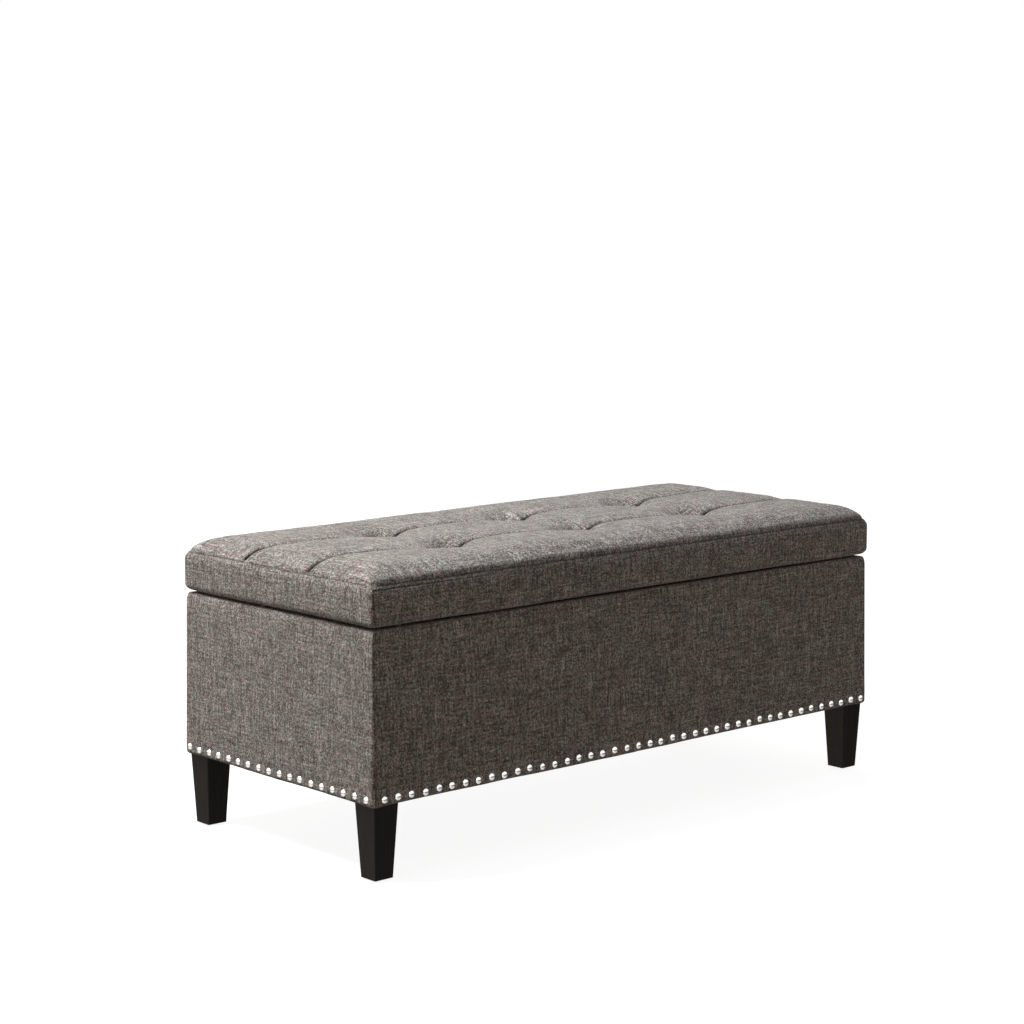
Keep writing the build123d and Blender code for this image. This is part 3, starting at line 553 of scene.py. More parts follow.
M_TWEED = tweed("tweed_cover")
M_LINING = nonwoven("black_lining", (0.020, 0.020, 0.021))
M_DUST = nonwoven("dust_cloth", (0.014, 0.014, 0.015))
M_LEG = dark_wood("espresso_wood")
M_NAIL = metal("polished_nickel", (0.84, 0.83, 0.81), 0.15, 300.0, 0.05)
M_STEEL = metal("zinc_steel", (0.56, 0.56, 0.56), 0.30)
M_STAY = metal("pressed_steel", (0.42, 0.42, 0.43), 0.34, brushed=True)
M_PLASTIC = plastic("black_plastic", (0.020, 0.020, 0.020))
M_BOARD = board_material("raw_board")
M_FOAM = foam_material("seat_foam", (0.82, 0.80, 0.68))
M_TWINE = foam_material("waxed_twine", (0.60, 0.57, 0.48))

slot_material = {
    "board": M_BOARD, "wadding": M_FOAM, "tweed": M_TWEED, "foam": M_FOAM, "lining": M_LINING,
    "leg_wood": M_LEG, "plastic": M_PLASTIC, "steel": M_STEEL, "nail_nickel": M_NAIL,
    "stay_steel": M_STAY, "twine": M_TWINE,
}
for s in frame["record"]["subparts"]:
    o = N[s["node"]]
    o.data.materials.clear()
    o.data.materials.append(slot_material[s["material_slot"]])

# ------------------------------------------------------------------ the box cover
lo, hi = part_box("front_cover")
blo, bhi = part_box("back_cover")
BX = hi.x                                  # half length over the cloth
BY0, BY1 = lo.y, bhi.y                     # front and back of the box
BYC, BYH = (BY0 + BY1) / 2, (BY1 - BY0) / 2
ZB, ZR = lo.z, hi.z                        # lower edge and rim
RIM_W = 0.020

nail_lo, nail_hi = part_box("nailheads_front")
NAIL_Z = (nail_lo.z + nail_hi.z) / 2
rng = np.random.RandomState(7)
fx = np.linspace(-BX + 0.017, BX - 0.0115, 42)
ey = np.linspace(BY0 + 0.014, BY1 - 0.0094, 18)
nails = {
    "front": [(x + rng.normal(0, 0.0006), NAIL_Z + rng.normal(0, 0.0006)) for x in fx],
    "left": [(y + rng.normal(0, 0.0006), NAIL_Z + rng.normal(0, 0.0006)) for y in ey],
    "right": [(y + rng.normal(0, 0.0006), NAIL_Z + rng.normal(0, 0.0006)) for y in ey],
}


def steps(points, fine):
    """Coordinates from the first to the last of points, with a spacing given for each stretch."""
    out = [points[0]]
    for a, b, h in zip(points[:-1], points[1:], fine):
        n = max(1, int(round(abs(b - a) / h)))
        out += list(a + (b - a) * (np.arange(1, n + 1) / n))
    return np.array(out)


def lean(z):
    """The padded walls stand out a little more towards the bottom."""
    return np.interp(z, [ZB + 0.02, ZB + 0.10, ZR - 0.02], [0.0030, 0.0015, -0.0008])


def box_cover():
    # profile up the wall: (height, set-in) from the turned-under lower edge to the inside of the rim
    prof = []
    zz = steps([ZB + 0.006, ZB + 0.022, ZR - 0.016], [0.0018, 0.006])
    for t in np.linspace(0, math.pi / 2, 6)[:-1]:      # turned under
        prof.append((ZB + 0.006 - 0.0062 * math.cos(t), 0.006 - 0.0062 * math.sin(t), 0))
    prof.insert(0, (ZB - 0.0002, 0.016, 0))
    for z in zz:
        prof.append((z, 0.0, 1))
    for t in np.linspace(0, math.pi / 2, 9)[1:]:       # roll over the rim
        prof.append((ZR - 0.016 + 0.016 * math.sin(t), 0.0040 * (1 - math.cos(t)), 2))
    prof.append((ZR, 0.012, 2))
    prof.append((ZR, RIM_W - 0.0015, 2))
    prof.append((ZR - 0.0006, RIM_W + 0.0006, 2))
    prof.append((ZR - 0.003, RIM_W + 0.0018, 2))
    prof.append((ZR - 0.016, RIM_W + 0.0016, 2))
    Z = np.array([p[0] for p in prof])
    IN = np.array([p[1] for p in prof])
    arc = np.concatenate([[0], np.cumsum(np.hypot(np.diff(Z), np.diff(IN)))]) + ZB - 0.0002

    rc = 0.0030                                        # radius of the upright corners
    soup = Soup()

    def wall(axis):
        if axis in ("front", "back"):
            half, yc = BX, 0.0
        else:
            half, yc = BYH, BYC
        c = steps([-half, -half + 0.02, half - 0.02, half], [0.0010, 0.0021, 0.0010])
        return c, half

    def shape(axis):
        c, half = wall(axis)
        C, Zg = np.meshgrid(c, Z)
        _, I = np.meshgrid(c, IN)
        _, A = np.meshgrid(c, arc)
        # the wall's own plane position, before the set-in
        other = BYH if axis in ("front", "back") else BX
        # local coords: a along the wall, o outward distance from the centre line
        a = C.copy()
        o = np.full_like(a, other)
        # round the corner in plan: square corner to arc
        ca, co = half - rc, other - rc
        va = np.sign(a) * np.maximum(np.abs(a) - ca, 0)
        vo = o - co
        k = np.maximum(np.abs(va), vo) / np.maximum(np.hypot(va, vo), 1e-9)
        inside = np.abs(va) > 0
        a2 = np.where(inside, np.sign(a) * ca + va * k, a)
        o2 = np.where(inside, co + vo * k, o)
        # outward direction in plan
        na = np.where(inside, va, 0)
        no = vo
        ln = np.maximum(np.hypot(na, no), 1e-9)
        na, no = na / ln, no / ln
        # set-in follows both walls near a corner, like a picture frame
        face = np.abs(C) / half
        # world coordinates for the noise fields
        seed = {"front": 1, "back": 2, "left": 3, "right": 4}[axis]
        h = (Zg - ZB) / (ZR - ZB)
        edge = np.minimum(half - np.abs(C), 0.08) / 0.08
        wave = 0.00055 * fbm(C * 14, Zg * 11, seed, 2) * smooth01(edge)
        pull = 0.00045 * vnoise(C * 55, Zg * 7, seed + 5) * smooth01((0.35 - h) / 0.3)   # faint pull from the nails
        pull += 0.0005 * vnoise(C * 70, Zg * 9, seed + 9) * smooth01((h - 0.86) / 0.12) * (Zg < ZR - 0.001)
        flare = lean(Zg) + 0.0012 * smooth01((0.22 - h) / 0.2) + 0.0004 * np.sin(np.pi * np.clip(h, 0, 1))
        disp = wave + pull + flare
        # dents where the nails press the cloth down
        if axis in nails:
            for p, z in nails[axis]:
                pp = p if axis == "front" else p - BYC
                r2 = (C - pp) ** 2 + (Zg - z) ** 2
                disp = disp - 0.0013 * np.exp(-r2 / (2 * 0.0062 ** 2))
        corner = smooth01((half - np.abs(C)) / 0.012)
        disp = (disp - lean(Zg)) * (0.25 + 0.75 * corner) + lean(Zg)
        low = (Zg < ZB + 0.008)
        disp = np.where(I > 0.010, 0, disp)
        inset = I - disp
        # a picture-frame corner: near the ends, the set-in also shortens the wall
        lim = 1.0 - I / half
        a3 = a2 * 1.0
        full = np.abs(C) >= half - 1e-9
        # positions along the wall shrink with the set-in so that neighbouring walls meet
        t = smooth01((np.abs(C) - (half - 0.03)) / 0.03)
        a3 = a2 - np.sign(a2) * t * I
        o3 = o2 - I
        a3 = a3 + na * disp * (np.abs(va) > 0)
        o3 = o3 + no * disp
        dz = 0.0006 * fbm(C * 9, C * 0, seed + 20, 2) * smooth01((ZB + 0.02 - Zg) / 0.02)
        zz_ = Zg + dz - 0.0010 * smooth01((0.03 - (half - np.abs(C))) / 0.03) * smooth01((ZB + 0.014 - Zg) / 0.014)
        if axis == "front":
            P = np.stack([a3, BYC - o3, zz_], -1)
            U = np.stack([C, A], -1)
            flip = False
        elif axis == "back":
            P = np.stack([-a3, BYC + o3, zz_], -1)
            U = np.stack([C + 3.0, A], -1)
            flip = False
        elif axis == "left":
            P = np.stack([-o3, BYC - a3, zz_], -1)
            U = np.stack([C + 5.0, A], -1)
            flip = False
        else:
            P = np.stack([o3, BYC + a3, zz_], -1)
            U = np.stack([C + 7.0, A], -1)
            flip = False
        # the upright seam, just round the corner on the long walls, drawn only in colour: thread colour and painted
        # shade
        K = 0 * C
        if axis in ("front", "back"):
            K = 0.62 * np.exp(-((half - np.abs(C) - 0.0026) / 0.0012) ** 2) * (I < 0.003) * (0.8 + 0.2 * vnoise(Zg * 60, 0 * Zg, seed + 40))
        # and painted shade along the turned-under lower edge
        K = np.maximum(K, 0.60 * np.exp(-((Zg - Zg.min()) / 0.0022) ** 2))
        return P, U, flip, np.clip(K, 0, 1)

    walls = {}
    for axis in ("front", "back", "left", "right"):
        walls[axis] = list(shape(axis))
    # neighbouring walls share their corner lines exactly
    order = [("front", -1, "right", 0), ("right", -1, "back", 0), ("back", -1, "left", 0), ("left", -1, "front", 0)]
    for a, ia, b, ib in order:
        m = (walls[a][0][:, ia] + walls[b][0][:, ib]) / 2
        walls[a][0][:, ia] = m
        walls[b][0][:, ib] = m
    for axis in walls:
        P, U, flip, K = walls[axis]
        soup.grid(P, U, flip, thread_and_painted_shade=K)
    v, f, uv, m = soup.weld()
    return build("box_cover", v, f, uv, m, [M_TWEED], thread_and_painted_shade=soup.thread_and_painted_shade)


cover = box_cover()
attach(cover, "base")
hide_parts("front_cover", "back_cover", "left_end_cover", "right_end_cover",
            "front_wadding", "back_wadding", "left_end_wadding", "right_end_wadding")

# ------------------------------------------------------------------ nails


def nail_row(name, axis, node):
    verts, faces = [], []
    R, H = 0.0061, 0.0054
    cap = (R * R + H * H) / (2 * H)
    prof = [(R * 0.90, -0.0012), (R * 0.985, -0.0006), (R, 0.0)]
    t1 = math.asin(R / cap)
    for k in range(1, 9):
        t = t1 * (1 - k / 8)
        prof.append((cap * math.sin(t), cap * math.cos(t) - (cap - H)))
    seg = 28
    for (p, z) in nails[axis]:
        tilt = rng.normal(0, 0.06, 2)
        base = len(verts)
        for r, h in prof[:-1]:
            for s in range(seg):
                a = 2 * math.pi * s / seg
                lx, lz = r * math.cos(a), r * math.sin(a)
                hh = h + lx * tilt[0] + lz * tilt[1]
                verts.append((lx, hh, lz, p, z))
        top = len(verts)
        verts.append((0, prof[-1][1], 0, p, z))
        bot = len(verts)
        verts.append((0, -0.0012, 0, p, z))
        rings = len(prof) - 1
        for k in range(rings - 1):
            for s in range(seg):
                a, b = base + k * seg + s, base + k * seg + (s + 1) % seg
                faces.append((a, b, b + seg, a + seg))
        for s in range(seg):
            a, b = base + (rings - 1) * seg + s, base + (rings - 1) * seg + (s + 1) % seg
            faces.append((a, b, top))
            faces.append((base + (s + 1) % seg, base + s, bot))
    out = []
    for lx, h, lz, p, z in verts:
        h = h + 0.0012
        if axis == "front":
            out.append((p + lx, BY0 - h, z + lz))
        elif axis == "left":
            out.append((-BX - h, p - lx, z + lz))
        else:
            out.append((BX + h, p + lx, z + lz))
    o = build(name, out, faces, None, None, [M_NAIL])
    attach(o, "base")
    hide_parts(node)
    return o


nail_row("nails_front", "front", "nailheads_front")
nail_row("nails_left", "left", "nailheads_left")
nail_row("nails_right", "right", "nailheads_right")

# ------------------------------------------------------------------ the lid cushion
lo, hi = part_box("lid_band_front")
lbo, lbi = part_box("lid_band_back")
tlo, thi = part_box("lid_top_cover")
LX = hi.x
LY0, LY1 = lo.y, lbi.y
LYC, LYH = (LY0 + LY1) / 2, (LY1 - LY0) / 2
ZL, ZS, ZT = lo.z, hi.z, thi.z
TX = [-0.270, 0.0, 0.268]
TY = [BYC - 0.078, BYC + 0.078]
ROLL_W, ROLL_H = 0.030, 0.0165


def lid_cushion():
    soup = Soup()
    rc = 0.0075
    INSET = 0.0040                         # the top seam is drawn in from the band
    TX_, TY_ = LX - INSET, LYH - INSET     # half sizes of the top panel at its seam
    RISE, RUN_X, RUN_Y = 0.0254, 0.072, 0.066

    def spaced(half, centre, marks, offs, h):
        """Coordinates from -half to half: close near the edges and near each mark."""
        edge = np.array([0.0, 0.00012, 0.00032, 0.0007, 0.0014, 0.0024, 0.0036, 0.0050, 0.0065, 0.0082, 0.0100, 0.0120])
        fixed = [-half + e for e in edge] + [half - e for e in edge]
        spans = [(-half + edge[-1], half - edge[-1])]
        cut = []
        for m in marks:
            fixed += [m - centre + o for o in offs]
            cut.append((m - centre + offs[0], m - centre + offs[-1]))
        lo_, hi_ = spans[0]
        pos = lo_
        out = list(fixed)
        for a_, b_ in sorted(cut) + [(hi_, hi_)]:
            n = max(1, int(round((a_ - pos) / h)))
            out += list(pos + (a_ - pos) * np.arange(1, n) / n)
            pos = b_
        return np.unique(np.round(out, 7))

    offs = np.array([-14, -12.2, -10.5, -9, -7.6, -6.3, -5.2, -4.2, -3.3, -2.5, -1.8, -1.2, -0.7, -0.3, 0,
                     0.3, 0.7, 1.2, 1.8, 2.5, 3.3, 4.2, 5.2, 6.3, 7.6, 9, 10.5, 12.2, 14]) / 1000
    xs = spaced(TX_, 0.0, [], offs, 0.00165)
    ys = spaced(TY_, LYC, TY, offs, 0.0021)
    X, Y = np.meshgrid(xs, ys)
    Yw = Y + LYC
    DX, DY = TX_ - np.abs(X), TY_ - np.abs(Y)
    border = (DX < 1e-7) | (DY < 1e-7)
    d = np.minimum(DX, DY)
    sx, sy = 1 - np.clip(DX / RUN_X, 0, 1), 1 - np.clip(DY / RUN_Y, 0, 1)
    S = np.clip((sx ** 12 + sy ** 12) ** (1 / 12), 0, 1)
    S = np.where(border, 1.0, S)
    wx = sx ** 4 / np.maximum(sx ** 4 + sy ** 4, 1e-9)
    h = (1 - S ** 2.4) ** (0.49 + 0.12 * wx)
    crown = 0.0012 * (1 - np.abs(X / TX_) ** 3) * (1 - np.abs(Y / TY_) ** 2.5)
    Z = ZS + (RISE + 0.0015 * (X / TX_) * (1 + Y / TY_)) * h + crown
    far = smooth01(d / 0.05)
    near_edge = smooth01(d / 0.012)

    a0, a1 = Yw - TY[0], Yw - TY[1]
    a = np.minimum(np.abs(a0), np.abs(a1))
    row = (np.abs(a1) < np.abs(a0)).astype(int)

    # how hard each stretch of a seam pulls: (x, pull) for the front and the back row
    def pull(x, r):
        near_ = ([-0.54, -0.36, -0.31, -0.25, -0.22, -0.19, -0.08, -0.02, 0.02, 0.22, 0.26, 0.30, 0.54],
                 [1.0, 1.0, 0.7, 0.9, 1.0, 0.5, 0.35, 0.55, 1.0, 1.0, 0.7, 1.0, 1.0])
        far_ = ([-0.54, -0.30, -0.25, -0.03, 0.02, 0.07, 0.10, 0.21, 0.26, 0.29, 0.34, 0.40, 0.45, 0.54],
                [1.0, 1.0, 1.0, 1.0, 1.0, 0.9, 0.4, 0.35, 0.8, 1.0, 0.8, 0.5, 0.9, 1.0])
        return np.where(r == 1, np.interp(x, *far_), np.interp(x, *near_))

    P_ = pull(X, row)
    # the strips swell a little between the seams
    Z += 0.0016 * (1 - np.exp(-(a / 0.024) ** 1.6)) * far
    Z -= 0.0032 * np.exp(-(a / 0.017) ** 2) * (0.5 + 0.5 * P_) * far
    # tufts
    CR = np.zeros_like(Z)
    rf = np.random.RandomState(23)
    for i, tx in enumerate(TX):
        for j, ty in enumerate(TY):
            dx, dy = X - tx, Yw - ty
            kx = np.interp(dx, [-0.012, 0.012], [0.033, 0.0205])
            ky = np.interp(dy, [-0.014, 0.010], [0.040, 0.0265])
            r = np.sqrt((dx / kx) ** 2 + (dy / ky) ** 2 + 1e-6)
            kl = np.interp(dx, [-0.012, 0.012], [0.055, 0.032])
            rl = np.sqrt((dx / kl) ** 2 + (dy / 0.040) ** 2 + 1e-6)
            depth = (0.0230, 0.0220)[j]
            Z -= (depth * (0.85 * np.exp(-r ** 1.6) + 0.15 * np.exp(-2.5 * r)) + 0.0125 * np.exp(-rl ** 1.05)) * near_edge
            rr = np.hypot(dx, dy)
            th = np.arctan2(dy, dx)
            # fine gathers all round the tuft
            ph = th * 11 / math.pi + 0.5 * vnoise(th * 2.3 + 7 * i, 5.0 * j + 0 * th, 80 + i)
            fold = np.abs(np.sin(math.pi * ph)) ** 0.7 - 0.62
            env = np.exp(-((rr - 0.020) / 0.013) ** 2)
            Z += 0.0011 * fold * env * (0.45 + 0.55 * np.clip(-np.cos(th - 0.5), -0.4, 1))
            # folds pulled out from the tuft, each a sharp valley that fades with distance
            for deg, ln, dp in ((170, 0.052, 0.9), (150, 0.058, 1.0), (128, 0.046, 0.8), (104, 0.036, 0.6), (76, 0.028, 0.45), (40, 0.028, 0.3),
                                (-158, 0.046, 0.6), (-130, 0.040, 0.5), (-98, 0.032, 0.4), (-62, 0.028, 0.3)):
                an = math.radians(deg + rf.normal(0, 4.0))
                ln = ln * (1 + rf.normal(0, 0.12))
                dp = dp * max(0.4, 1 + rf.normal(0, 0.2))
                al = dx * math.cos(an) + dy * math.sin(an)
                side = -dx * math.sin(an) + dy * math.cos(an)
                side = side - 0.10 * al * al / ln * (1 if deg > 0 else -1)      # a slight curve
                wd = 0.0020 + 0.045 * np.clip(al, 0, 1)
                fade = smooth01((al - 0.002) / 0.006) * smooth01((ln - al) / (0.72 * ln))
                valley = np.exp(-np.abs(side) / wd)
                ridge = np.exp(-((np.abs(side) - 2.4 * wd) / (1.4 * wd)) ** 2)
                Z += (-0.0032 * valley + 0.0006 * ridge) * dp * fade
                # painted shade along each fold valley
                CR = np.maximum(CR, 0.66 * dp * fade * np.exp(-(side / (0.70 * wd)) ** 2))
            # painted shade in the pit, where little light reaches, and a wider patch of painted shade set toward its
            # left and back wall
            CR = np.maximum(CR, 0.55 * np.exp(-(rr / 0.0075) ** 2))
            rs = np.hypot(dx + 0.008, dy - 0.004) / 0.025
            CR = np.maximum(CR, 0.74 * np.exp(-rs ** 2.4) * (0.75 + 0.25 * np.abs(np.sin(th * 9 + 2.2 * vnoise(th * 3 + i, 0 * th + j, 88)))))

    # the sewn seam: a narrow fold between two rolled lips
    wob = 0.0005 * vnoise(X * 40, row * 7.0, 90) * far
    sw = np.where(row == 1, a1, a0) - wob
    aw = np.abs(sw)
    start = smooth01((TX_ - np.abs(X)) / 0.004)
    Z -= 0.0080 * (0.40 + 0.60 * P_) * np.exp(-(aw / 0.0035)) * start
    Z += 0.0009 * np.exp(-((aw - 0.009) / 0.0045) ** 2) * start * P_
    # fine pulls that cross the seam
    ph = (X + 0.25 * aw) / 0.017 + 0.8 * vnoise(X * 30, row * 3.0, 95)
    Z += 0.00030 * (np.abs(np.sin(math.pi * ph)) ** 0.7 - 0.6) * np.exp(-((aw - 0.009) / 0.007) ** 2) * far

    # the cloth is held by the twine and goes no lower
    zq = Z - 0.4290
    Z = np.where(far > 0.2, 0.4290 + 0.5 * (zq + np.sqrt(zq * zq + 0.0016 ** 2)), Z)

    P = np.stack([X, Yw, Z], -1)

    def round_plan(P, lx, ly, rc):
        cxp, cyp = lx - rc, ly - rc
        px, py = P[..., 0], P[..., 1] - LYC
        vx = np.sign(px) * np.maximum(np.abs(px) - cxp, 0)
        vy = np.sign(py) * np.maximum(np.abs(py) - cyp, 0)
        ln = np.hypot(vx, vy)
        k = np.where(ln > 0, np.maximum(np.abs(vx), np.abs(vy)) / np.maximum(ln, 1e-9), 1)
        both = (np.abs(vx) > 0) & (np.abs(vy) > 0)
        P[..., 0] = np.where(both, np.sign(px) * cxp + vx * k, px)
        P[..., 1] = np.where(both, np.sign(py) * cyp + vy * k, py) + LYC
        return P

    P = round_plan(P, TX_, TY_, rc)
    n = np.cross(np.gradient(P, axis=1), np.gradient(P, axis=0))
    n /= np.maximum(np.linalg.norm(n, axis=-1, keepdims=True), 1e-12)
    disp = np.zeros_like(Z)
    # gathers above the front and back seams, square to the seam, with sharp valleys
    for side in (-1, 1):
        m = (np.sign(Y) == side)
        env = smooth01((DY - 0.0040) / 0.008) * np.exp(-(np.maximum(DY - 0.016, 0) / 0.022) ** 2) * m
        xx = X + 0.70 * DY
        ph = xx / 0.0092 + 0.9 * vnoise(xx * 26, 0 * X + side, 31) + 0.22 * vnoise(xx * 90, 0 * X + side, 33)
        lo_f = np.clip(0.55 + 0.75 * vnoise(xx * 21, 0 * X + side * 2, 37), 0.12, 1.4)
        reach = np.clip(0.75 + 0.6 * vnoise(xx * 60, 0 * X + side, 38), 0.3, 1.4)
        env = env * smooth01((reach * 0.054 - DY) / 0.020) * smooth01(DX / 0.03)
        wv = np.abs(np.sin(math.pi * ph))
        disp += 0.00175 * lo_f * (wv ** 0.62 - 0.66) * env
        # painted shade in the valleys of the gathers
        CR = np.maximum(CR, 0.30 * np.clip(lo_f, 0, 1) * env * np.exp(-(wv / 0.30) ** 2))
    # the ends are pulled smoother
    for side in (-1, 1):
        m = (np.sign(X) == side)
        env = smooth01(DX / 0.004) * np.exp(-(DX / 0.026) ** 2) * m
        ph = (Y + 0.1 * DX) / 0.016 + 0.9 * vnoise(Y * 34, 0 * X + side, 41)
        disp += 0.00032 * (np.abs(np.sin(math.pi * ph)) ** 0.8 - 0.6) * env * smooth01(DY / 0.03)
    # the whole top is slightly uneven
    disp += 0.0009 * fbm(X * 9, Yw * 9, 11, 3) * far
    disp += 0.00022 * fbm(X * 48, Yw * 48, 17, 2) * far
    # a lip stands over the seam all round
    disp += np.where(DX < DY, 0.0003, 0.0007) * np.exp(-((d - 0.0036) / 0.0032) ** 2)
    disp = np.where(border, 0.0, disp)
    P = P + n * disp[..., None]
    B = round_plan(np.stack([X, Yw, np.full_like(Z, ZS)], -1), TX_, TY_, rc)
    P = np.where(border[..., None], B, P)
    # painted shade and thread colour along the sewn seams, wider on the far side of each seam
    cr = (0.12 + 0.88 * P_) * np.exp(-(aw / np.where(sw > 0, 0.0052, 0.0038)) ** 4) * start
    cr = np.maximum(cr, CR)
    # painted shade at the foot of the roll, just above the band seam, deeper on the front and back
    up_ = np.maximum(P[..., 2] - ZS, 0)
    cr = np.maximum(cr, np.where(DX < DY, 0.42, 0.64) * np.exp(-(up_ / np.where(DX < DY, 0.0012, 0.0017)) ** 2))

    # the weave follows the cloth over the rolled edges, so it isn't stretched there
    def unrolled(D, run, power):
        t = np.linspace(0, run, 6001)
        hh = RISE * (1 - (1 - t / run) ** 2.4) ** power
        extra = np.concatenate([[0], np.cumsum(np.hypot(np.diff(t), np.diff(hh)))]) - t
        return extra[-1] - np.interp(D, t, extra)

    Uw = X + np.sign(X) * unrolled(DX, RUN_X, 0.61)
    Vw = Yw + np.sign(Y) * unrolled(DY, RUN_Y, 0.49)
    soup.grid(P, np.stack([Uw + 11.0, Vw], -1), False, thread_and_painted_shade=np.clip(cr, 0, 1))

    # side band: from the seam over a turned seam allowance, down, round the lower edge and in under the board
    # the third value of each profile point is painted shade and thread colour at the seam
    prof = [(ZS, INSET, 0.80)]
    for z, c in ((0.0006, 0.50), (0.0014, 0.12), (0.0026, 0.0), (0.0038, 0.0), (0.0047, 0.0), (0.0054, 0.0), (0.0061, 0.0), (0.0070, 0.0), (0.0084, 0.0), (0.0104, 0.0)):
        prof.append((ZS - z, INSET * (1 - z / 0.0115) ** 2, c))
    for z in steps([ZS - 0.0104, ZL + 0.010], [0.0033])[1:]:
        prof.append((z, 0.0, 0.0))
    for t in np.linspace(0, math.pi / 2, 9)[1:]:
        prof.append((ZL + 0.010 - 0.010 * math.sin(t), 0.0085 * (1 - math.cos(t)), 0.0))
    for k in (0.011, 0.018, 0.028, 0.0315):
        prof.append((ZL, k, 0.0))
    prof.append((ZL + 0.001, 0.0325, 0.0))
    PZ = np.array([p[0] for p in prof])
    PI = np.array([p[1] for p in prof])
    PC = np.array([p[2] for p in prof])
    arc_l = np.concatenate([[0], np.cumsum(np.hypot(np.diff(PZ), np.diff(PI)))])
    RC = 0.0065

    def band(axis):
        long_ = axis in ("front", "back")
        # (the back band is out of sight but made the same way)
        src = {"front": xs, "back": -xs[::-1], "left": -ys[::-1], "right": ys}[axis]
        half_s = TX_ if long_ else TY_
        half = LX if long_ else LYH
        other = LYH if long_ else LX
        # at the seam the band is as long as the top panel; lower down it reaches the full size
        C0, Zg = np.meshgrid(src, PZ)
        _, I = np.meshgrid(src, PI)
        _, A = np.meshgrid(src, arc_l)
        _, K = np.meshgrid(src, PC)
        grow = np.clip((INSET - I) / INSET, 0, 1)
        s_abs = np.abs(C0)
        u_ = np.clip((s_abs - (half_s - 0.05)) / 0.05, 0, 1)
        C = np.sign(C0) * (s_abs + u_ * (half - half_s))
        rcl = rc + (RC - rc) * grow
        # plan position for a box of half sizes reduced by the set-in
        def corner(Cc, hx, ho, r):
            va = np.sign(Cc) * np.maximum(np.abs(Cc) - (hx - r), 0)
            vo = r + 0 * va
            ln = np.maximum(np.hypot(va, vo), 1e-9)
            k = np.maximum(np.abs(va), vo) / ln
            a_ = np.where(np.abs(va) > 0, np.sign(Cc) * (hx - r) + va * k, Cc)
            o_ = np.where(np.abs(va) > 0, ho - r + vo * k, ho)
            return a_, o_, va / ln, vo / ln
        seed = {"front": 101, "back": 102, "left": 103, "right": 104}[axis]
        hh = np.clip((Zg - ZL) / (ZS - ZL), 0, 1)
        cs = half - np.abs(C)
        edge = smooth01(cs / 0.05)
        bulge = 0.0002 * np.sin(np.pi * np.clip(hh, 0, 1) ** 0.9) * (0.55 + 0.45 * edge)
        wave = 0.0007 * fbm(C * 13, Zg * 12, seed, 2) * (0.2 + 0.8 * edge)
        pulls = 0.00055 * (np.abs(np.sin(math.pi * (C / 0.013 + 1.0 * vnoise(C * 33, 0 * C, seed + 3)))) ** 0.8 - 0.6) \
            * smooth01((hh - 0.55) / 0.3) * smooth01((ZS - 0.0075 - Zg) / 0.003) * edge * np.clip(0.4 + vnoise(C * 17, 0 * C, seed + 4), 0, 1.2)
        side = (Zg < ZS - 0.0009) & (I < 0.0084)
        disp = (bulge + wave * np.sin(np.pi * hh ** 0.7) + pulls) * side * smooth01((ZS - Zg) / 0.010) * smooth01((0.0086 - np.where(Zg < ZL + 0.012, I, 0)) / 0.006)
        # upright seam: a ridge on the corner, with a stitched groove beside it
        up = side * smooth01((Zg - ZL) / 0.006) * smooth01((ZS - 0.003 - Zg) / 0.004)
        groove = 0
        K2 = 0 * K
        if not long_:
            disp = disp + 0.0006 * np.exp(-((cs - 0.0015) / 0.0020) ** 2) * up
        else:
            groove = -0.0016 * np.exp(-((cs - 0.0042) / 0.0012) ** 2) * up
            # painted shade and thread colour in the stitched groove
            K2 = 0.75 * np.exp(-((cs - 0.0042) / 0.0011) ** 2) * up
        # the turned seam allowance shows as a second line, plainest by the front's left corner
        plain = {"front": np.interp(C, [-half, -half + 0.10, -half + 0.28, half], [1.0, 0.85, 0.30, 0.22]),
                 "back": 0.3 + 0 * C, "left": 0.12 + 0 * C, "right": 0.12 + 0 * C}[axis]
        line = np.exp(-((ZS - Zg - 0.0054) / 0.0009) ** 2) * side * smooth01(cs / 0.004)
        disp = disp + groove - 0.0013 * plain * line
        # the second line is painted shade with thread colour over a shallow groove
        K2 = np.maximum(K2, 0.85 * plain * line)
        # reduce the whole ring by the set-in, minus the swelling
        red = I
        hx, ho = half - red, other - red
        Cc = np.sign(C) * np.minimum(np.abs(C) * 1.0, half) * 1.0
        Cc = np.where(np.abs(C) > half - 0.05, np.sign(C) * (half - 0.05 + (np.abs(C) - (half - 0.05)) * (0.05 - red) / 0.05), C)
        a3, o3, na, no = corner(Cc, hx, ho, np.minimum(rcl, 0.02))
        a3 = a3 + na * disp
        o3 = o3 + no * disp
        dz = 0.0011 * (fbm(C * 7, C * 0, seed + 30, 2) + 0.4) * smooth01((ZL + 0.02 - Zg) / 0.02) * (I < 0.0084) * (0.25 + 0.75 * edge)
        zz = Zg + np.clip(dz, -0.0006, 0.002)
        K = np.clip(np.maximum(K * (0.75 + 0.25 * vnoise(C * 25, 0 * C, seed + 8)), K2), 0, 1)
        if axis == "front":
            P = np.stack([a3, LYC - o3, zz], -1)
            U = np.stack([C + 13.0, -A], -1)
        elif axis == "back":
            P = np.stack([-a3, LYC + o3, zz], -1)
            U = np.stack([C + 15.0, -A], -1)
        elif axis == "left":
            P = np.stack([-o3, LYC - a3, zz], -1)
            U = np.stack([C + 17.0, -A], -1)
        else:
            P = np.stack([o3, LYC + a3, zz], -1)
            U = np.stack([C + 19.0, -A], -1)
        return P, U, K

    w = {k: list(band(k)) for k in ("front", "right", "back", "left")}
    for a_, b_ in (("front", "right"), ("right", "back"), ("back", "left"), ("left", "front")):
        m = (w[a_][0][:, -1] + w[b_][0][:, 0]) / 2
        w[a_][0][:, -1] = m
        w[b_][0][:, 0] = m
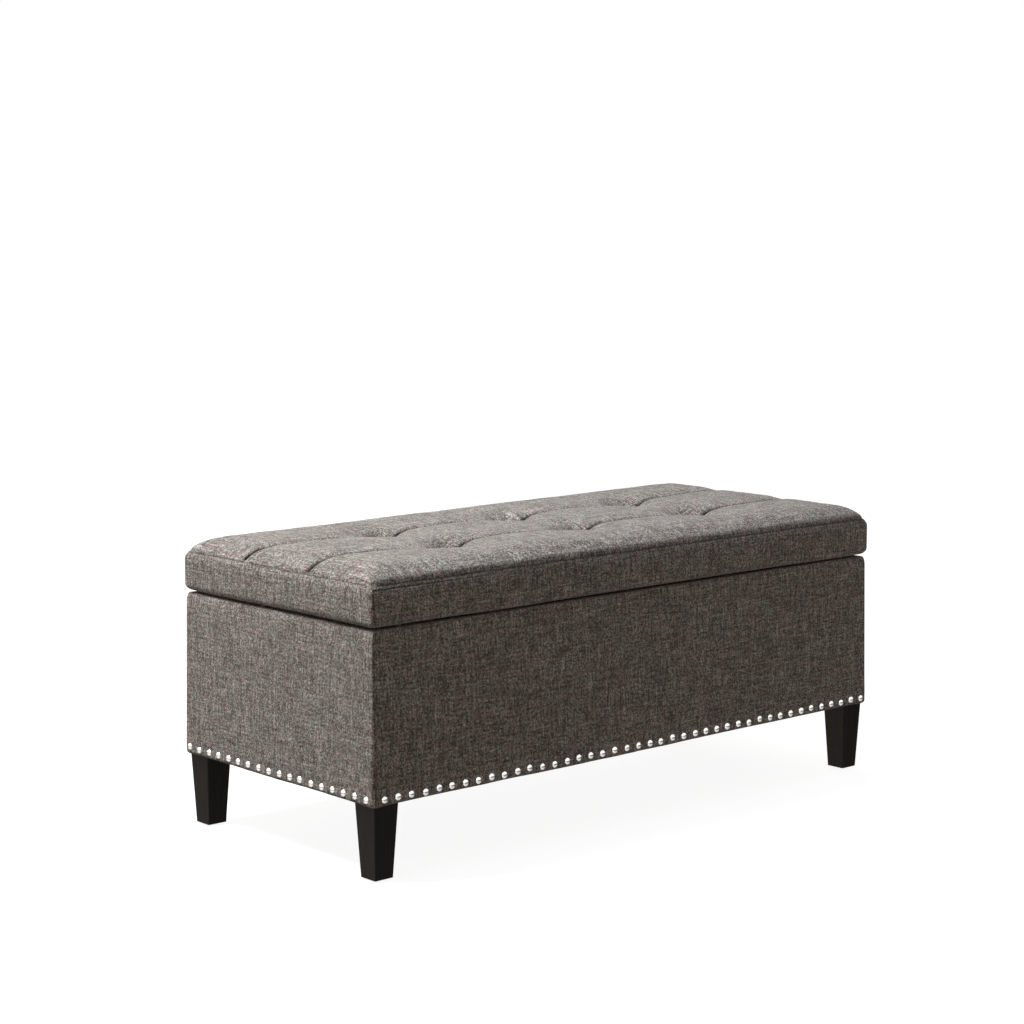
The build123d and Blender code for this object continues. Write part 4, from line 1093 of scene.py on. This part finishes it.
    # the band's first row is the top panel's border
    top = {"front": P[0, :], "right": P[:, -1], "back": P[-1, ::-1], "left": P[::-1, 0]}
    for k in w:
        w[k][0][0] = top[k]
        soup.grid(w[k][0], w[k][1], True, thread_and_painted_shade=w[k][2])
    v, f, uv, m = soup.weld()
    return build("lid_cushion", v, f, uv, m, [M_TWEED], thread_and_painted_shade=soup.thread_and_painted_shade)


def eased_box(name, lo, hi, r, mat, seg=3):
    """A closed board with eased edges: a grid wrapped round a box and rounded."""
    lo, hi = np.array(lo), np.array(hi)
    c, hf = (lo + hi) / 2, (hi - lo) / 2
    soup = Soup()

    def line(h):
        t = np.linspace(0, 1, seg + 1)[1:]
        e = [-h] + list(-h + r * t)
        n = max(1, int(round((2 * (h - r)) / 0.05)))
        mid = list(np.linspace(-h + r, h - r, n + 1)[1:])
        return np.array(e + mid + list(h - r * (1 - t)))

    L = [line(x) for x in hf]
    for ax in range(3):
        u, v = [k for k in range(3) if k != ax]
        for sgn in (-1, 1):
            A, B = np.meshgrid(L[u], L[v])
            P = np.zeros(A.shape + (3,))
            P[..., u], P[..., v], P[..., ax] = A, B, sgn * hf[ax]
            core = np.clip(P, -(hf - r), hf - r)
            q = P - core
            ln = np.maximum(np.linalg.norm(q, axis=-1, keepdims=True), 1e-9)
            P = core + q / ln * r
            flip = (sgn < 0) ^ (ax == 1)
            soup.grid(P + c, np.stack([A, B], -1), flip)
    v, f, uv, m = soup.weld()
    return build(name, v, f, uv, m, [mat])


lid = lid_cushion()
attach(lid, "lid")
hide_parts("lid_foam", "lid_top_cover", "lid_band_front", "lid_band_back", "lid_band_left", "lid_band_right")

lo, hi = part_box("lid_board")
board = eased_box("lid_deck", (lo.x + 0.007, lo.y + 0.007, lo.z + 0.0002), (hi.x - 0.007, hi.y - 0.007, hi.z), 0.002, M_BOARD)
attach(board, "lid")
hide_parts("lid_board")

# ------------------------------------------------------------------ linings and the cloth underneath


def thin(o, t):
    """Give a sheet its thickness, away from the side that shows."""
    m = o.modifiers.new("thickness", "SOLIDIFY")
    m.thickness = t
    m.offset = -1.0
    return o


def open_box(name, x, y0, y1, z0, z1, mat, r=0.007):
    """The inside of an open box, cloth over board: soft corners, slack along the walls, a folded hem at the top."""
    soup = Soup()
    yc, yh = (y0 + y1) / 2, (y1 - y0) / 2
    hz = steps([z0 + r, z1 - 0.012, z1 - 0.004], [0.008, 0.0016])
    prof = [(z0 + r - r * math.sin(t), r - r * math.cos(t)) for t in np.linspace(math.pi / 2, 0, 7)]
    prof = [(z0 + r * (1 - math.cos(t)), r * (1 - math.sin(t))) for t in np.linspace(0, math.pi / 2, 7)]
    prof += [(z, 0.0) for z in hz[1:]]
    prof += [(z1 - 0.0032, -0.0002), (z1 - 0.0020, 0.0004), (z1 - 0.0010, 0.0013), (z1 - 0.0002, 0.0024), (z1, 0.0036)]
    PZ, PI = np.array([p[0] for p in prof]), np.array([p[1] for p in prof])
    arc = np.concatenate([[0], np.cumsum(np.hypot(np.diff(PZ), np.diff(PI)))])
    rows = {}
    for k, axis in enumerate(("front", "right", "back", "left")):
        long_ = axis in ("front", "back")
        half, other = (x, yh) if long_ else (yh, x)
        c = steps([-half, -half + 0.03, half - 0.03, half], [0.003, 0.008, 0.003])
        C, Z = np.meshgrid(c, PZ)
        _, I = np.meshgrid(c, PI)
        _, A = np.meshgrid(c, arc)
        cs = half - np.abs(C)
        hh = np.clip((Z - z0) / (z1 - z0), 0, 1)
        soft = smooth01(cs / 0.05) * smooth01(hh / 0.1) * smooth01((1 - hh) / 0.06)
        w = 0.0011 * fbm(C * 8, Z * 6, 200 + k, 3) * soft
        # shallow pulls below the stapled edge
        w = w + 0.0007 * (np.abs(np.sin(math.pi * (C / 0.055 + 0.5 * vnoise(C * 9, 0 * C, 210 + k)))) - 0.6) * smooth01((hh - 0.55) / 0.4) * smooth01((1 - hh) / 0.05) * smooth01(cs / 0.03)
        I = I + np.clip(w, -0.0012, 0.003)
        rc = 0.005
        a, o = C.copy(), other - I
        scale = (half - I) / half
        a = C * np.where(np.abs(C) > 0, scale, 1)
        va = np.sign(C) * np.maximum(np.abs(C) - (half - rc), 0)
        ln = np.hypot(va, rc)
        kk = np.maximum(np.abs(va), rc) / ln
        a = a - va + va * kk
        o = o - rc + rc * kk
        if axis == "front":
            P = np.stack([-a, yc - o, Z], -1)
        elif axis == "back":
            P = np.stack([a, yc + o, Z], -1)
        elif axis == "left":
            P = np.stack([-o, yc + a, Z], -1)
        else:
            P = np.stack([o, yc - a, Z], -1)
        rows[axis] = [P, np.stack([C + 2.0 * k, A], -1)]
    for a_, b_ in (("front", "left"), ("left", "back"), ("back", "right"), ("right", "front")):
        m = (rows[a_][0][:, -1] + rows[b_][0][:, 0]) / 2
        rows[a_][0][:, -1] = m
        rows[b_][0][:, 0] = m
    for k in rows:
        soup.grid(rows[k][0], rows[k][1], False)
    # the floor fills the ring with a grid that keeps its edge points
    fx = -rows["front"][0][0, :, 0]
    xs_ = rows["back"][0][0, :, 0]
    ys_ = rows["left"][0][0, :, 1]
    X, Y = np.meshgrid(xs_, ys_)
    dd = np.minimum(x - r - np.abs(X), yh - r - np.abs(Y - yc))
    Z = z0 + np.clip(0.0012 * (fbm(X * 5, Y * 5, 230, 3) + 0.7), 0, 0.003) * smooth01(dd / 0.05)
    P = np.stack([X, Y, Z], -1)
    P[0] = rows["front"][0][0, ::-1]
    P[-1] = rows["back"][0][0]
    P[:, 0] = rows["left"][0][0]
    P[:, -1] = rows["right"][0][0, ::-1]
    soup.grid(P, P[..., :2] + 9.0, False)
    v, f, uv, m = soup.weld(4e-5)
    return build(name, v, f, uv, m, [mat])


lo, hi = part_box("storage_lining")
IX, IY0, IY1 = hi.x - 0.0020, lo.y + 0.0020, hi.y - 0.0020
inner = open_box("box_lining", IX, IY0, IY1, lo.z + 0.0022, ZR - 0.0035, M_LINING)
thin(inner, 0.0011)
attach(inner, "base")
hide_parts("storage_lining")


def flat_sheet(name, x0, x1, y0, y1, z, mat, down, amp, seed, hole=None, hem=0.012):
    """A stapled flat cloth with a turned hem; down is -1 if it shows from below."""
    hx, hy = (x1 - x0) / 2, (y1 - y0) / 2
    e = [0, 0.0008, 0.0020, 0.0040, hem - 0.0012, hem, hem + 0.0012, hem + 0.004]
    xs_ = np.unique(np.round(np.concatenate([[-hx + k for k in e], steps([-hx + 0.02, hx - 0.02], [0.010]), [hx - k for k in e]]), 6))
    ys_ = np.unique(np.round(np.concatenate([[-hy + k for k in e], steps([-hy + 0.02, hy - 0.02], [0.010]), [hy - k for k in e]]), 6))
    X, Y = np.meshgrid(xs_, ys_)
    d = np.minimum(hx - np.abs(X), hy - np.abs(Y))
    lift = 0.0004 * smooth01(d / 0.003) + 0.0005 * smooth01((hem + 0.001 - d) / 0.0016)
    slack = amp * (fbm(X * 5, Y * 5, seed, 3) + 0.5) * smooth01((d - hem) / 0.06)
    pull = 0.0004 * np.abs(np.sin(math.pi * (np.where(hx - np.abs(X) < hy - np.abs(Y), Y, X) / 0.05))) * smooth01((0.05 - d) / 0.04) * smooth01((d - hem) / 0.01)
    Z = z + down * (lift + np.maximum(slack, 0) + pull)
    cx, cy = (x0 + x1) / 2, (y0 + y1) / 2
    soup = Soup()
    soup.grid(np.stack([X + cx, Y + cy, Z], -1), np.stack([X, Y], -1), down < 0)
    v, f, uv, m = soup.weld()
    return build(name, v, f, uv, m, [mat])


def staples(name, x0, x1, y0, y1, z, down, pitch, body, inset=0.006):
    """Wire staples round the edge of a stapled cloth."""
    verts, faces = [], []
    rs = np.random.RandomState(11)

    def one(cx, cy, ang):
        w, t, h = 0.0052, 0.00055, 0.0007
        c, s_ = math.cos(ang), math.sin(ang)
        ring = []
        path = [(-w, -0.0012), (-w, 0.35 * h), (-w * 0.93, h), (w * 0.93, h), (w, 0.35 * h), (w, -0.0012)]
        base = len(verts)
        for (px, pz) in path:
            for (oy, oz) in ((-t, -t * 0.5), (t, -t * 0.5), (t, t * 0.5), (-t, t * 0.5)):
                lx, ly = px, oy
                verts.append((cx + lx * c - ly * s_, cy + lx * s_ + ly * c, z + down * (pz + oz)))
        n = len(path)
        for k in range(n - 1):
            for q in range(4):
                a_, b_ = base + 4 * k + q, base + 4 * k + (q + 1) % 4
                fc = (a_, b_, b_ + 4, a_ + 4)
                faces.append(fc if down > 0 else fc[::-1])
        e0 = (base + 3, base + 2, base + 1, base)
        e1 = tuple(base + 4 * (n - 1) + q for q in range(4))
        faces.append(e0 if down > 0 else e0[::-1])
        faces.append(e1 if down > 0 else e1[::-1])

    nx = int(round((x1 - x0 - 0.05) / pitch))
    for k in range(nx + 1):
        x = x0 + 0.025 + (x1 - x0 - 0.05) * k / nx + rs.normal(0, 0.002)
        for y in (y0 + inset, y1 - inset):
            one(x, y + rs.normal(0, 0.0006), rs.normal(0, 0.10))
    ny = int(round((y1 - y0 - 0.05) / pitch))
    for k in range(ny + 1):
        y = y0 + 0.025 + (y1 - y0 - 0.05) * k / ny + rs.normal(0, 0.002)
        for x in (x0 + inset, x1 - inset):
            one(x + rs.normal(0, 0.0006), y, math.pi / 2 + rs.normal(0, 0.10))
    o = build(name, verts, faces, None, None, [M_STEEL], smooth=False)
    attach(o, body)
    return o


# under the lid
lo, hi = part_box("lid_lining")
m_ = 0.013
under = flat_sheet("lid_underlining", lo.x + m_, hi.x - m_, lo.y + m_, hi.y - m_, lo.z + 0.0012, M_LINING, -1, 0.0003, 301)
thin(under, 0.0008)
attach(under, "lid")
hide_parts("lid_lining")
staples("lid_staples", lo.x + m_, hi.x - m_, lo.y + m_, hi.y - m_, lo.z + 0.0008, -1, 0.062, "lid")

# under the box
lo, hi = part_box("dust_cover")
m_ = 0.004
dust = flat_sheet("bottom_cloth", lo.x + m_, hi.x - m_, lo.y + m_, hi.y - m_, hi.z - 0.0004, M_DUST, -1, 0.0016, 320, hem=0.016)
thin(dust, 0.0006)
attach(dust, "base")
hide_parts("dust_cover")
staples("bottom_staples", lo.x + m_, hi.x - m_, lo.y + m_, hi.y - m_, hi.z - 0.0010, -1, 0.058, "base", inset=0.009)
